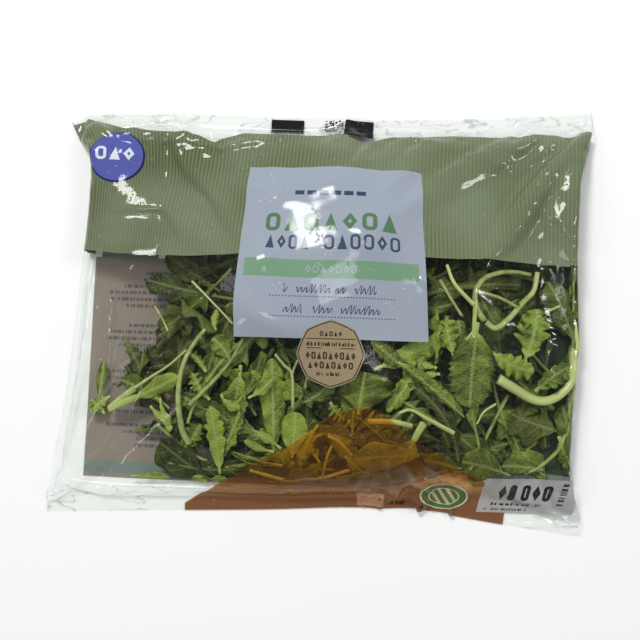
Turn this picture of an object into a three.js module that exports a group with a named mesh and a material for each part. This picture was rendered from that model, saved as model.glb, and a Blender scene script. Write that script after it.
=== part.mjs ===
// A pillow bag of salad leaves that lies on its back: a tube of clear film, sealed across its top and bottom ends.
// The film is a tube of nearly square cells. It starts flat and is relaxed step by step: gas inside blows it up,
// the heap of leaves holds it off the table, its sides are drawn in, and it hardly stretches, so that it folds.
// The outside of the relaxed film is the solid. Millimetres, +Z up, the top seal towards +Y.
import * as THREE from "three";

// The flat pouch
const FILM_WIDTH = 250;
const FILM_HEIGHT = 197;
const SEAL_HEIGHT = 11;
const SEAL_THICKNESS = 0.8;
const SEAL_LIFT = 7; // the highest that a sealed end curls off the table

// What is in it
const FULL_VOLUME = 0.8e6;
const HEAP_CENTRE = { x: 7, y: -4 };
const HEAP_HALF = { x: 107, y: 78 };
const HEAP_HEIGHT = 31;
const HEAP_SLOPE = 0.22; // how much lower the heap is at its left end
const HEAP_LUMPS = { longest: 95, ratio: 0.8, count: 7, slope: 0.026 };

// How far each side is drawn in: height on the pouch from its middle, and inset there. Both run from bottom to top.
const LEFT_INSETS = [
  [-88, 0],
  [-76, 3],
  [-66, 6],
  [-50, 9],
  [-22, 12],
  [31, 15],
  [63, 17],
  [78, 15],
  [89, 0],
];
const RIGHT_INSETS = [
  [-89, 0],
  [-83, 10],
  [-58, 14],
  [-40, 12],
  [-11, 9],
  [22, 10.5],
  [61, 8.5],
  [77, 4],
  [88, 0],
];
const END_INSET = 4.2; // how far the cut ends are drawn in

// Where the sealed ends buckle first. An end is +1 at the top and -1 at the bottom.
const DARTS = [
  { x: -54, end: 1, depth: -5 },
  { x: 17, end: 1, depth: -5 },
  { x: 78, end: 1, depth: -4 },
  { x: -92, end: 1, depth: -3 },
  { x: -83, end: -1, depth: 6 },
  { x: -20, end: -1, depth: -4 },
  { x: 48, end: -1, depth: 3 },
  { x: 95, end: -1, depth: -4 },
];
const DART_WIDTH = 6;
const DART_LENGTH = 22;

// The uncreased film isn't quite even, so that it doesn't fold alike on all sides.
const START_HEIGHT = 8;
const START_HALF_THICKNESS = 4;
const START_RIPPLES = { longest: 60, ratio: 0.75, count: 8, slope: 0.012 };
const BACK_RIPPLE_SHIFT = 40;

// The relaxation
const COLUMNS = 100; // round the tube: a whole number of fours, and the first one is the left edge
const ROWS = 40;
const STEPS = 500;
const PASSES = 6;
const PRESSURE = 0.09;
const GRAVITY = 0.01;
const DAMPING = 0.98;
const BEND_STIFFNESS = 0.05;
const SHEAR_STIFFNESS = 0.6;
const FILLING_SHARE = 0.4; // of the steps, in which the heap rises and the sides are drawn in
const TABLE_GRIP = 0.8;
const TABLE_REACH = 0.2;

const HALF = COLUMNS / 2;
const LINES = ROWS + 1;
const CELL_WIDTH = (2 * FILM_WIDTH) / COLUMNS;
const CELL_HEIGHT = FILM_HEIGHT / ROWS;
const GOLDEN_ANGLE = 2.399963;
const PHASE_STEP = 1.7;

const clamp = THREE.MathUtils.clamp;
const column = (i) => ((i % COLUMNS) + COLUMNS) % COLUMNS;
const at = (i, j) => 3 * (column(i) * LINES + j);
const isSealed = (j) => Math.abs(j * CELL_HEIGHT - FILM_HEIGHT / 2) > FILM_HEIGHT / 2 - SEAL_HEIGHT - 0.01;
const sealedLines = [...Array(LINES).keys()].filter(isSealed);

// A sum of waves in many directions, each shorter than the last and as steep.
function ripple(x, y, { longest, ratio, count, slope }) {
  let z = 0;
  for (let k = 0; k < count; k++) {
    const wave = longest * ratio ** k;
    const angle = GOLDEN_ANGLE * (k + 1);
    const along = x * Math.cos(angle) + y * Math.sin(angle);
    z += slope * wave * Math.sin((2 * Math.PI * along) / wave + PHASE_STEP * k);
  }
  return z;
}

// The top of the heap of leaves, or below the table where there is none.
function heapTop(x, y) {
  const dx = (x - HEAP_CENTRE.x) / HEAP_HALF.x;
  const dy = (y - HEAP_CENTRE.y) / HEAP_HALF.y;
  const reach = Math.abs(dx) ** 3 + Math.abs(dy) ** 3;
  if (reach >= 1) return -1;
  const depth = HEAP_HEIGHT * (1 - HEAP_SLOPE * clamp(-dx, 0, 1));
  return (1 - reach) ** 0.7 * (depth + ripple(x, y, HEAP_LUMPS));
}

function dartDepth(x, y) {
  let z = 0;
  for (const dart of DARTS) {
    const run = FILM_HEIGHT / 2 - dart.end * y;
    z += dart.depth * Math.exp(-(((x - dart.x) / DART_WIDTH) ** 2) - (run / DART_LENGTH) ** 2);
  }
  return z;
}

// How far the side at this height of the pouch is drawn in.
function insetAt(y, insets) {
  for (let k = 1; k < insets.length; k++) {
    const [[low, from], [high, to]] = [insets[k - 1], insets[k]];
    if (y >= low && y < high) return THREE.MathUtils.mapLinear(y, low, high, from, to);
  }
  return 0;
}

// Columns 1 to HALF - 1 are the front of the pouch, 0 and HALF its side edges, and the rest its back.
function sideOf(i) {
  if (i % HALF === 0) return 0;
  return i < HALF ? 1 : -1;
}

function flatPouch() {
  const film = new Float64Array(COLUMNS * LINES * 3);
  for (let i = 0; i < COLUMNS; i++) {
    const across = i * CELL_WIDTH;
    const x = i <= HALF ? across - FILM_WIDTH / 2 : 1.5 * FILM_WIDTH - across;
    for (let j = 0; j < LINES; j++) {
      const y = j * CELL_HEIGHT - FILM_HEIGHT / 2;
      const waves = ripple(x, y + BACK_RIPPLE_SHIFT * sideOf(i), START_RIPPLES);
      film[at(i, j)] = x;
      film[at(i, j) + 1] = y;
      film[at(i, j) + 2] = START_HEIGHT + START_HALF_THICKNESS * sideOf(i) + waves + dartDepth(x, y);
    }
  }
  return film;
}

// The area normal of the film at one point of the tube, from its four neighbours.
const along = new THREE.Vector3();
const up = new THREE.Vector3();
function areaNormal(film, i, j, out) {
  const below = Math.max(j - 1, 0);
  const above = Math.min(j + 1, ROWS);
  const scale = 2 / (above - below);
  along.fromArray(film, at(i + 1, j)).sub(out.fromArray(film, at(i - 1, j)));
  up.fromArray(film, at(i, above)).sub(out.fromArray(film, at(i, below))).multiplyScalar(scale);
  return out.crossVectors(along, up).multiplyScalar(0.25);
}

// Moves two points of the film towards the distance that they had in the flat pouch.
function pull(film, a, b, rest, stiffness) {
  const dx = film[b] - film[a];
  const dy = film[b + 1] - film[a + 1];
  const dz = film[b + 2] - film[a + 2];
  const length = Math.sqrt(dx * dx + dy * dy + dz * dz) + 1e-9;
  const share = ((length - rest) * 0.5 * stiffness) / length;
  film[a] += dx * share;
  film[a + 1] += dy * share;
  film[a + 2] += dz * share;
  film[b] -= dx * share;
  film[b + 1] -= dy * share;
  film[b + 2] -= dz * share;
}

// Pulls every pair of points that are (di, dj) cells apart, in groups that share no point.
function pullPairs(film, di, dj, rest, stiffness, group) {
  const byColumn = di !== 0;
  for (let first = 0; first < group; first++)
    for (let i = byColumn ? first : 0; i < COLUMNS; i += byColumn ? group : 1)
      for (let j = byColumn ? Math.max(0, -dj) : first; j + Math.max(0, dj) < LINES; j += byColumn ? 1 : group)
        pull(film, at(i, j), at(i + di, j + dj), rest, stiffness);
}

function keepLengths(film) {
  const diagonal = Math.hypot(CELL_WIDTH, CELL_HEIGHT);
  pullPairs(film, 1, 0, CELL_WIDTH, 1, 2);
  pullPairs(film, 0, 1, CELL_HEIGHT, 1, 2);
  pullPairs(film, 1, 1, diagonal, SHEAR_STIFFNESS, 2);
  pullPairs(film, 1, -1, diagonal, SHEAR_STIFFNESS, 2);
  pullPairs(film, 2, 0, 2 * CELL_WIDTH, BEND_STIFFNESS, 4);
  pullPairs(film, 0, 2, 2 * CELL_HEIGHT, BEND_STIFFNESS, 4);
}

// The front and back of both ends lie on each other, and don't curl up far.
function weldEnds(film) {
  for (const j of sealedLines)
    for (let i = 1; i < HALF; i++) {
      const front = at(i, j);
      const back = at(-i, j);
      for (let k = 0; k < 3; k++) film[front + k] = film[back + k] = (film[front + k] + film[back + k]) / 2;
      film[front + 2] += SEAL_THICKNESS / 2;
      film[back + 2] -= SEAL_THICKNESS / 2;
    }
}

// Keeps the film out of the heap and the table, inside the drawn-in edges, and its front above its back.
function keepClear(film, before, filled) {
  const end = FILM_HEIGHT / 2 - filled * END_INSET;
  for (let j = 0; j < LINES; j++) {
    const y = j * CELL_HEIGHT - FILM_HEIGHT / 2;
    const left = -FILM_WIDTH / 2 + filled * insetAt(y, LEFT_INSETS);
    const right = FILM_WIDTH / 2 - filled * insetAt(y, RIGHT_INSETS);
    for (let i = 0; i < COLUMNS; i++) {
      film[at(i, j)] = clamp(film[at(i, j)], left, right);
      film[at(i, j) + 1] = clamp(film[at(i, j) + 1], -end, end);
    }
    for (let i = 1; i < HALF; i++) {
      const front = at(i, j);
      const least = Math.max(heapTop(film[front], film[front + 1]) * filled, film[at(-i, j) + 2] + SEAL_THICKNESS);
      film[front + 2] = Math.max(film[front + 2], least);
    }
    const ceiling = isSealed(j) ? SEAL_LIFT : Infinity;
    for (let i = 0; i < COLUMNS; i++) {
      const p = at(i, j);
      film[p + 2] = clamp(film[p + 2], 0, ceiling);
      if (film[p + 2] < TABLE_REACH)
        for (const k of [p, p + 1]) film[k] = before[k] + (film[k] - before[k]) * TABLE_GRIP;
    }
  }
}

// Blows the film up by what its volume lacks, carries on its last movement, and lets it sink.
function push(film, before) {
  const normals = new Float64Array(film.length);
  const normal = new THREE.Vector3();
  const point = new THREE.Vector3();
  let volume = 0;
  for (let i = 0; i < COLUMNS; i++)
    for (let j = 0; j < LINES; j++) {
      areaNormal(film, i, j, normal).toArray(normals, at(i, j));
      volume += point.fromArray(film, at(i, j)).dot(normal) / 3;
    }
  const lack = clamp((FULL_VOLUME - volume) / FULL_VOLUME, -0.3, 1);
  const force = (lack * PRESSURE) / (CELL_WIDTH * CELL_HEIGHT);
  for (let i = 0; i < COLUMNS; i++)
    for (let j = 0; j < LINES; j++)
      for (let k = 0; k < 3; k++) {
        const p = at(i, j) + k;
        const speed = (film[p] - before[p]) * DAMPING;
        before[p] = film[p];
        film[p] += speed + (isSealed(j) ? 0 : normals[p] * force) - (k === 2 ? GRAVITY : 0);
      }
}

function relax(film) {
  const before = film.slice();
  for (let step = 1; step <= STEPS; step++) {
    push(film, before);
    const filled = Math.min(1, step / (FILLING_SHARE * STEPS));
    for (let pass = 0; pass < PASSES; pass++) {
      keepLengths(film);
      weldEnds(film);
      keepClear(film, before, filled);
    }
  }
  return film;
}

// The film's outside as one closed surface: the tube, and a strip that shuts each cut end between front and back.
function bagGeometry(film) {
  const index = [];
  const corner = (i, j) => at(i, j) / 3;
  const quad = (a, b, c, d) => index.push(a, b, c, a, c, d);
  for (let i = 0; i < COLUMNS; i++)
    for (let j = 0; j < ROWS; j++) quad(corner(i, j), corner(i + 1, j), corner(i + 1, j + 1), corner(i, j + 1));
  for (let i = 0; i < HALF; i++) {
    const [front, nextFront, back, nextBack] = [i, i + 1, -i, -i - 1];
    if (i > 0) index.push(corner(front, 0), corner(back, 0), corner(nextFront, 0));
    if (i > 0) index.push(corner(front, ROWS), corner(nextFront, ROWS), corner(back, ROWS));
    if (i < HALF - 1) index.push(corner(nextFront, 0), corner(back, 0), corner(nextBack, 0));
    if (i < HALF - 1) index.push(corner(nextFront, ROWS), corner(nextBack, ROWS), corner(back, ROWS));
  }
  const geometry = new THREE.BufferGeometry();
  geometry.setAttribute("position", new THREE.Float32BufferAttribute(film, 3));
  geometry.setIndex(index);
  geometry.computeBoundingBox();
  const { min, max } = geometry.boundingBox;
  geometry.translate(-(min.x + max.x) / 2, -(min.y + max.y) / 2, -min.z);
  geometry.computeVertexNormals();
  return geometry;
}

// The look of the whole from outside: clear film over green leaves.
const packMaterial = new THREE.MeshStandardMaterial({ color: 0x6f8a46, roughness: 0.25, metalness: 0 });

const bag = new THREE.Mesh(bagGeometry(relax(flatPouch())), packMaterial);
bag.name = "bag";

const saladBag = new THREE.Group();
saladBag.add(bag);

export default saladBag;
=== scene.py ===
# A bag of salad leaves: film that is relaxed over the heap, its print, and the leaves and stems inside.
import math

import bpy
import numpy as np
from mathutils import Matrix, Vector


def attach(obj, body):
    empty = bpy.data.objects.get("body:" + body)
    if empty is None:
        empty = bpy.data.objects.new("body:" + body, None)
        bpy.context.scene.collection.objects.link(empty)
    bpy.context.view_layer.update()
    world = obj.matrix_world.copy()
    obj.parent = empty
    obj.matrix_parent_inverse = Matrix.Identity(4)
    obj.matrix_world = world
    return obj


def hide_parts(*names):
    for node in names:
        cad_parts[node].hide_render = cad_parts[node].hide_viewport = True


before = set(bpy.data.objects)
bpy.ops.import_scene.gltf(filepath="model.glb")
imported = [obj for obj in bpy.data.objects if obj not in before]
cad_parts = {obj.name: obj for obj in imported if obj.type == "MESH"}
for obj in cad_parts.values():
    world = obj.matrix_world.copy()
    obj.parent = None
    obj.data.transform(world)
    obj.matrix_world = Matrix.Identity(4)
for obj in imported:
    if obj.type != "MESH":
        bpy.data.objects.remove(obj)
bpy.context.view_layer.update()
MM = 0.001

# The flat pouch and what is in it, as in the solid
FILM_WIDTH, FILM_HEIGHT = 250.0, 197.0
SEAL_HEIGHT, SEAL_THICKNESS, SEAL_LIFT = 11.0, 0.8, 7.0
FULL_VOLUME = 0.8e6
HEAP_CENTRE, HEAP_HALF = (7.0, -4.0), (107.0, 78.0)
HEAP_HEIGHT, HEAP_SLOPE = 31.0, 0.22
HEAP_LUMPS = (95.0, 0.8, 7, 0.026)
LEFT_INSETS = ((-88, 0), (-76, 3), (-66, 6), (-50, 9), (-22, 12), (31, 15), (63, 17), (78, 15), (89, 0))
RIGHT_INSETS = ((-89, 0), (-83, 10), (-58, 14), (-40, 12), (-11, 9), (22, 10.5), (61, 8.5), (77, 4), (88, 0))
END_INSET = 4.2
DARTS = ((-54, 1, -5), (17, 1, -5), (78, 1, -4), (-92, 1, -3), (-83, -1, 6), (-20, -1, -4), (48, -1, 3),
         (95, -1, -4))
DART_WIDTH, DART_LENGTH = 6.0, 22.0
START_HEIGHT, START_HALF_THICKNESS = 8.0, 4.0
START_RIPPLES = (60.0, 0.75, 8, 0.012)
BACK_RIPPLE_SHIFT = 40.0
GOLDEN_ANGLE, PHASE_STEP = 2.399963, 1.7

# The relaxation: the solid's own coarse level first, then two finer ones
COARSE = (100, 40)
LEVELS = (
    dict(steps=500, pressure=0.09, gravity=0.010, damping=0.98, bend=0.05, filling=0.4),
    dict(steps=150, pressure=0.045, gravity=0.007, damping=0.97, bend=0.04, filling=0),
    dict(steps=50, pressure=0.027, gravity=0.005, damping=0.95, bend=0.04, filling=0),
)
PASSES = 6
SHEAR_STIFFNESS = 0.6
TABLE_GRIP, TABLE_REACH = 0.8, 0.2


def ripple(x, y, longest, ratio, count, slope):
    """A sum of waves in many directions, each shorter than the last and as steep."""
    z = 0.0
    for k in range(count):
        wave = longest * ratio ** k
        angle = GOLDEN_ANGLE * (k + 1)
        along = x * np.cos(angle) + y * np.sin(angle)
        z = z + slope * wave * np.sin(2 * np.pi * along / wave + PHASE_STEP * k)
    return z


def heap_top(x, y):
    dx = (x - HEAP_CENTRE[0]) / HEAP_HALF[0]
    dy = (y - HEAP_CENTRE[1]) / HEAP_HALF[1]
    reach = np.abs(dx) ** 3 + np.abs(dy) ** 3
    depth = HEAP_HEIGHT * (1 - HEAP_SLOPE * np.clip(-dx, 0, 1))
    mound = np.clip(1 - reach, 0, 1) ** 0.7 * (depth + ripple(x, y, *HEAP_LUMPS))
    return np.where(reach < 1, mound, -1.0)


def dart_depth(x, y):
    z = 0.0
    for at, end, depth in DARTS:
        run = FILM_HEIGHT / 2 - end * y
        z = z + depth * np.exp(-((x - at) / DART_WIDTH) ** 2 - (run / DART_LENGTH) ** 2)
    return z


def flat_pouch(cols, rows):
    across = np.arange(cols) * (2 * FILM_WIDTH / cols)
    y = np.arange(rows + 1) * (FILM_HEIGHT / rows) - FILM_HEIGHT / 2
    x = np.where(across <= FILM_WIDTH, across - FILM_WIDTH / 2, 1.5 * FILM_WIDTH - across)
    side = np.where(np.arange(cols) < cols // 2, 1.0, -1.0)
    side[0] = side[cols // 2] = 0.0
    x, y, side = np.broadcast_arrays(x[:, None], y[None, :], side[:, None])
    waves = ripple(x, y + BACK_RIPPLE_SHIFT * side, *START_RIPPLES)
    z = START_HEIGHT + START_HALF_THICKNESS * side + waves + dart_depth(x, y)
    return np.stack([x, y, z], -1)


def refine(film):
    """Doubles the film's columns and rows by four-point interpolation."""
    cols, lines = film.shape[:2]
    wide = np.empty((cols * 2, lines, 3))
    wide[0::2] = film
    wide[1::2] = (9 * (film + np.roll(film, -1, 0)) - np.roll(film, 1, 0) - np.roll(film, -2, 0)) / 16
    before, after = 2 * wide[:, :1] - wide[:, 1:2], 2 * wide[:, -1:] - wide[:, -2:-1]
    long = np.concatenate([before, wide, after], 1)
    fine = np.empty((cols * 2, lines * 2 - 1, 3))
    fine[:, 0::2] = wide
    fine[:, 1::2] = (9 * (long[:, 1:-2] + long[:, 2:-1]) - long[:, :-3] - long[:, 3:]) / 16
    return fine


def pull(a, b, rest, stiffness):
    """Moves points a and b towards the distance that they had in the flat pouch."""
    d = b - a
    length = np.sqrt((d * d).sum(-1, keepdims=True)) + 1e-9
    d *= (length - rest) * (0.5 * stiffness) / length
    a += d
    b -= d


def pull_columns(film, gap, shift, rest, stiffness, group):
    """Pulls (i, j) and (i + gap, j + shift), in groups that share no point. The tube closes on itself."""
    cols, lines = film.shape[:2]
    low, high = max(0, -shift), lines - max(0, shift)
    ring = np.concatenate([film, film[:gap]], 0)
    for first in range(group):
        ring[cols:] = ring[:gap]
        a = ring[first:cols:group, low:high]
        b = ring[first + gap:cols + gap:group, low + shift:high + shift]
        pull(a, b, rest, stiffness)
        for k in range(gap):
            if (cols + k - gap - first) % group == 0:
                ring[k] = ring[cols + k]
    film[:] = ring[:cols]


def pull_rows(film, gap, rest, stiffness, group):
    for first in range(group):
        b = film[:, first + gap::group]
        a = film[:, first::group][:, :b.shape[1]]
        pull(a, b, rest, stiffness)


def area_normals(film):
    across = np.roll(film, -1, 0) - np.roll(film, 1, 0)
    up = np.empty_like(film)
    up[:, 1:-1] = film[:, 2:] - film[:, :-2]
    up[:, 0] = 2 * (film[:, 1] - film[:, 0])
    up[:, -1] = 2 * (film[:, -1] - film[:, -2])
    return np.cross(across, up) / 4


def sealed_lines(lines):
    y = np.linspace(-FILM_HEIGHT / 2, FILM_HEIGHT / 2, lines)
    return np.abs(y) > FILM_HEIGHT / 2 - SEAL_HEIGHT - 0.01


def weld_ends(film, sealed, thickness):
    """Lays the front and back of both ends on each other."""
    half = film.shape[0] // 2
    front, back = film[1:half], film[-1:-half:-1]
    middle = (front[:, sealed] + back[:, sealed]) / 2
    front[:, sealed] = middle + (0, 0, thickness / 2)
    back[:, sealed] = middle - (0, 0, thickness / 2)


def keep_clear(film, before, filled, edges, ceiling):
    """Keeps the film off the heap and the table, inside its drawn-in edges, and its front above its back."""
    half = film.shape[0] // 2
    left, right = edges
    end = FILM_HEIGHT / 2 - END_INSET * filled
    film[..., 0] = np.clip(film[..., 0], -FILM_WIDTH / 2 + filled * left, FILM_WIDTH / 2 - filled * right)
    film[..., 1] = np.clip(film[..., 1], -end, end)
    front, back = film[1:half], film[-1:-half:-1]
    least = np.maximum(heap_top(front[..., 0], front[..., 1]) * filled, back[..., 2] + SEAL_THICKNESS)
    front[..., 2] = np.maximum(front[..., 2], least)
    film[..., 2] = np.clip(film[..., 2], 0, ceiling)
    grip = np.where(film[..., 2] < TABLE_REACH, TABLE_GRIP, 1.0)[..., None]
    film[..., :2] = before[..., :2] + (film[..., :2] - before[..., :2]) * grip


def relax(film, steps, pressure, gravity, damping, bend, filling):
    cols, lines = film.shape[:2]
    du, dv = 2 * FILM_WIDTH / cols, FILM_HEIGHT / (lines - 1)
    y = np.arange(lines) * dv - FILM_HEIGHT / 2
    edges = [np.interp(y, *zip(*insets)) for insets in (LEFT_INSETS, RIGHT_INSETS)]
    sealed = sealed_lines(lines)
    ceiling = np.where(sealed, SEAL_LIFT, np.inf)
    before = film.copy()
    for step in range(1, steps + 1):
        normals = area_normals(film)
        lack = np.clip((FULL_VOLUME - (film * normals).sum() / 3) / FULL_VOLUME, -0.3, 1)
        normals[:, sealed] = 0
        speed = (film - before) * damping
        before = film.copy()
        film += speed + normals * (lack * pressure / (du * dv)) - (0, 0, gravity)
        filled = min(1.0, step / (filling * steps)) if filling else 1.0
        for _ in range(PASSES):
            pull_columns(film, 1, 0, du, 1.0, 2)
            pull_rows(film, 1, dv, 1.0, 2)
            pull_columns(film, 1, 1, math.hypot(du, dv), SHEAR_STIFFNESS, 2)
            pull_columns(film, 1, -1, math.hypot(du, dv), SHEAR_STIFFNESS, 2)
            pull_columns(film, 2, 0, 2 * du, bend, 4)
            pull_rows(film, 2, 2 * dv, bend, 4)
            weld_ends(film, sealed, SEAL_THICKNESS)
            keep_clear(film, before, filled, edges, ceiling)
    return film


# The sealed ends: the gap between front and back, and the height of their fine ribs
FILM_GAP, RIB_HEIGHT = 0.12, 0.1

# Sharp creases of the front: both ends on the flat film, height, and reach to each side
CREASES = (
    (-52, 77, -4, 91, 1.3, 5.0), (-52, 77, -66, 80, -0.9, 4.0), (-52, 77, -56, 92, -1.6, 6.0),
    (20, 79, 12, 62, 0.9, 5.0), (20, 79, 24, 93, -1.6, 6.0), (20, 79, 30, 88, 0.9, 4.0),
    (40, 86, 86, 69, 1.1, 4.5), (57, 82, 88, 80, 0.8, 3.5), (100, 84, 110, 60, 0.8, 5.0),
    (-36, 24, -46, 34, 0.5, 3.0), (46, 12, 60, 4, 1.0, 4.0),
    (-110, -62, -84, -84, 1.0, 5.0), (-100, -88, -70, -80, 0.8, 4.0), (-60, -90, -40, -78, 0.8, 4.0),
    (-12, -92, -4, -76, 0.8, 4.0), (38, -90, 46, -74, 0.7, 4.0), (74, -92, 84, -78, 0.8, 4.0),
    (112, 40, 96, 52, 0.9, 5.0), (114, 20, 102, 26, 0.7, 4.0), (112, -60, 98, -66, 0.9, 5.0),
)


CREASE_START = 0.35


def crease_height(x, y):
    """Tents along the creases: sharp at the crest, and wider towards their second end."""
    z = np.zeros(np.broadcast(x, y).shape)
    for x0, y0, x1, y1, height, reach in CREASES:
        run_x, run_y = x1 - x0, y1 - y0
        share = ((x - x0) * run_x + (y - y0) * run_y) / (run_x ** 2 + run_y ** 2)
        nearest = np.clip(share, 0, 1)
        away = np.hypot(x - x0 - nearest * run_x, y - y0 - nearest * run_y)
        z += height * np.clip(1 - away / (reach * (CREASE_START + nearest)), 0, 1)
    return z


# Crinkles of the front: wave length and heading of each, how they wander, their height in the middle and by
# the edges, and where the edges begin and how soon they have their full height
CRINKLES = ((7.1, 0.35), (9.3, 1.25), (6.3, 2.10), (11.9, 2.75), (8.2, 0.80))
CRINKLE_WANDER, CRINKLE_WANDER_RUN = 1.7, 9.0
CRINKLE_FLAT, CRINKLE_EDGE = 0.015, 0.075
CRINKLE_SIDES, CRINKLE_ENDS = (88, 45), (55, 35)


def crinkle_height(x, y):
    """Fine uneven waves, stronger towards the film's edges."""
    waves = 0.0
    for length, heading in CRINKLES:
        run = x * math.cos(heading) + y * math.sin(heading)
        aside = y * math.cos(heading) - x * math.sin(heading)
        wander = CRINKLE_WANDER * np.sin(aside / CRINKLE_WANDER_RUN + length)
        waves = waves + np.sin(2 * np.pi * run / length + wander)
    edge = 0.0
    for place, (start, reach) in ((x, CRINKLE_SIDES), (y, CRINKLE_ENDS)):
        edge = edge + np.clip((np.abs(place) - start) / reach, 0, 1)
    return waves * (CRINKLE_FLAT + CRINKLE_EDGE * np.clip(edge, 0, 1))


# The relaxed front has a groove beside its left edge, which the photograph doesn't show beside the dot. It is
# filled from the lower height to the upper one, and fades out at both over its run.
GROOVE_LEFT, GROOVE_RIGHT, GROOVE_BULGE = -99.0, -74.0, 1.3
GROOVE_LOWER, GROOVE_UPPER = (8, 14), (90, 6)


def fill_groove(front):
    """Draws the front over the groove, from the crest at its left to the slope at its right."""
    for j in range(front.shape[1]):
        line = front[:, j]
        y = line[0, 1]
        rising = np.clip((y - GROOVE_LOWER[0]) / GROOVE_LOWER[1], 0, 1)
        share = float(rising * np.clip((GROOVE_UPPER[0] - y) / GROOVE_UPPER[1], 0, 1))
        if share == 0:
            continue
        first = int(np.argmax(np.where(line[:, 0] < GROOVE_LEFT, line[:, 2], -1)))
        last = int(np.argmax(line[:, 0] > GROOVE_RIGHT))
        t = np.linspace(0, 1, last - first + 1)
        for axis, bulge in ((0, 0.0), (2, GROOVE_BULGE)):
            start, end = line[first, axis], line[last, axis]
            path = start + (end - start) * t + bulge * np.sin(np.pi * t)
            line[first:last + 1, axis] += (path - line[first:last + 1, axis]) * share


def relaxed_film():
    """The film's points in millimetres, in the solid's frame: columns round the tube, and rows up it."""
    film = relax(flat_pouch(*COARSE), **LEVELS[0])
    low, high = film.min((0, 1)), film.max((0, 1))
    for level in LEVELS[1:]:
        film = refine(film)
        relax(film, **level)
    sealed = sealed_lines(film.shape[1])
    weld_ends(film, sealed, FILM_GAP)
    film[:, sealed, 2] += RIB_HEIGHT * np.where(np.arange(film.shape[1])[sealed] % 2, 1, -1)
    half = film.shape[0] // 2
    fill_groove(film[:half + 1])
    x = np.arange(half + 1)[:, None] * FILM_WIDTH / half - FILM_WIDTH / 2
    y = np.linspace(-FILM_HEIGHT / 2, FILM_HEIGHT / 2, film.shape[1])[None, :]
    film[:half + 1, ~sealed, 2] += (crease_height(x, y) + crinkle_height(x, y))[:, ~sealed]
    film[..., 2] = np.maximum(film[..., 2], 0)
    return film - ((low[0] + high[0]) / 2, (low[1] + high[1]) / 2, low[2])


def new_mesh(name, points, faces, material, smooth=True):
    """A piece of the scene, from points in millimetres."""
    mesh = bpy.data.meshes.new(name)
    mesh.from_pydata((np.asarray(points) * MM).tolist(), [], faces)
    mesh.polygons.foreach_set("use_smooth", [smooth] * len(mesh.polygons))
    mesh.materials.append(material)
    mesh.update()
    piece = bpy.data.objects.new(name, mesh)
    bpy.context.scene.collection.objects.link(piece)
    return piece


def add_marks(piece, names, marks):
    """Numbers at the points of a piece, a row for each name, which its material reads."""
    for name, values in zip(names, marks):
        attribute = piece.data.attributes.new(name, "FLOAT", "POINT")
        attribute.data.foreach_set("value", values.astype(np.float32))


def film_piece(film, front, back):
    """The tube as one mesh. Its UV map is the place on the flat film: round the tube, and up it."""
    cols, lines = film.shape[:2]
    i, j = np.meshgrid(np.arange(cols), np.arange(lines - 1), indexing="ij")
    near, far = i * lines + j, (i + 1) % cols * lines + j
    faces = np.stack([near, far, far + 1, near + 1], -1).reshape(-1, 4)
    piece = new_mesh("film", film.reshape(-1, 3), faces.tolist(), front)
    piece.data.materials.append(back)
    behind = (i >= cols // 2).astype(np.int32)
    piece.data.polygons.foreach_set("material_index", behind.ravel())
    corner_i = np.stack([i, i + 1, i + 1, i], -1) / cols
    corner_j = np.stack([j, j, j + 1, j + 1], -1) / (lines - 1)
    uv = piece.data.uv_layers.new(name="film")
    uv.data.foreach_set("uv", np.stack([corner_i, corner_j], -1).ravel())
    return piece


# Materials are sums on node sockets. Sockets of the colour mix: its two colours, and its result
MIX_COLOURS, MIX_RESULT = (6, 7), 2


def feed(tree, socket, value):
    """Feeds a socket from a field or another socket, or sets a colour or a number on it."""
    value = value.socket if isinstance(value, Field) else value
    if isinstance(value, bpy.types.NodeSocket):
        tree.links.new(value, socket)
    else:
        socket.default_value = (*value, 1.0) if isinstance(value, tuple) else value


class Field:
    """A value at every point of a surface. Sums of fields are sums of nodes."""

    def __init__(self, tree, socket):
        self.tree, self.socket = tree, socket

    def op(self, kind, *others):
        node = self.tree.nodes.new("ShaderNodeMath")
        node.operation = kind
        for place, value in enumerate((self,) + others):
            feed(self.tree, node.inputs[place], value)
        return Field(self.tree, node.outputs[0])

    def __add__(self, other):
        return self.op("ADD", other)

    def __sub__(self, other):
        return self.op("SUBTRACT", other)

    def __mul__(self, other):
        return self.op("MULTIPLY", other)

    def over(self, other):
        return self.op("MAXIMUM", other)

    def above(self, limit):
        return self.op("GREATER_THAN", limit)

    def below(self, limit):
        return self.op("LESS_THAN", limit)

    def near(self, centre, reach):
        return self.op("COMPARE", centre, reach)

    def inverse(self):
        return self.op("MULTIPLY_ADD", -1.0, 1.0)

    def steps(self, low, high, to_low=0.0, to_high=1.0):
        """Goes smoothly from one value to another as this field goes from low to high."""
        node = self.tree.nodes.new("ShaderNodeMapRange")
        node.interpolation_type = "SMOOTHSTEP"
        limits = {"Value": self, "From Min": low, "From Max": high, "To Min": to_low, "To Max": to_high}
        for name, value in limits.items():
            feed(self.tree, node.inputs[name], value)
        return Field(self.tree, node.outputs[0])


def add_node(tree, kind, **values):
    """A node with its sockets fed by name. An underscore stands for a space."""
    node = tree.nodes.new(kind)
    for name, value in values.items():
        feed(tree, node.inputs[name.replace("_", " ")], value)
    return node


def new_material(name):
    material = bpy.data.materials.new(name)
    material.use_nodes = True
    tree = material.node_tree
    tree.nodes.clear()
    return material, tree


def finish_material(tree, shader):
    add_node(tree, "ShaderNodeOutputMaterial", Surface=shader)


def mix_colour(tree, share, first, second):
    """Mixes two colours. Each is a socket or a tuple of linear red, green and blue."""
    node = tree.nodes.new("ShaderNodeMix")
    node.data_type = "RGBA"
    for place, value in zip(("Factor", *MIX_COLOURS), (share, first, second)):
        feed(tree, node.inputs[place], value)
    return node.outputs[MIX_RESULT]


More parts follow.
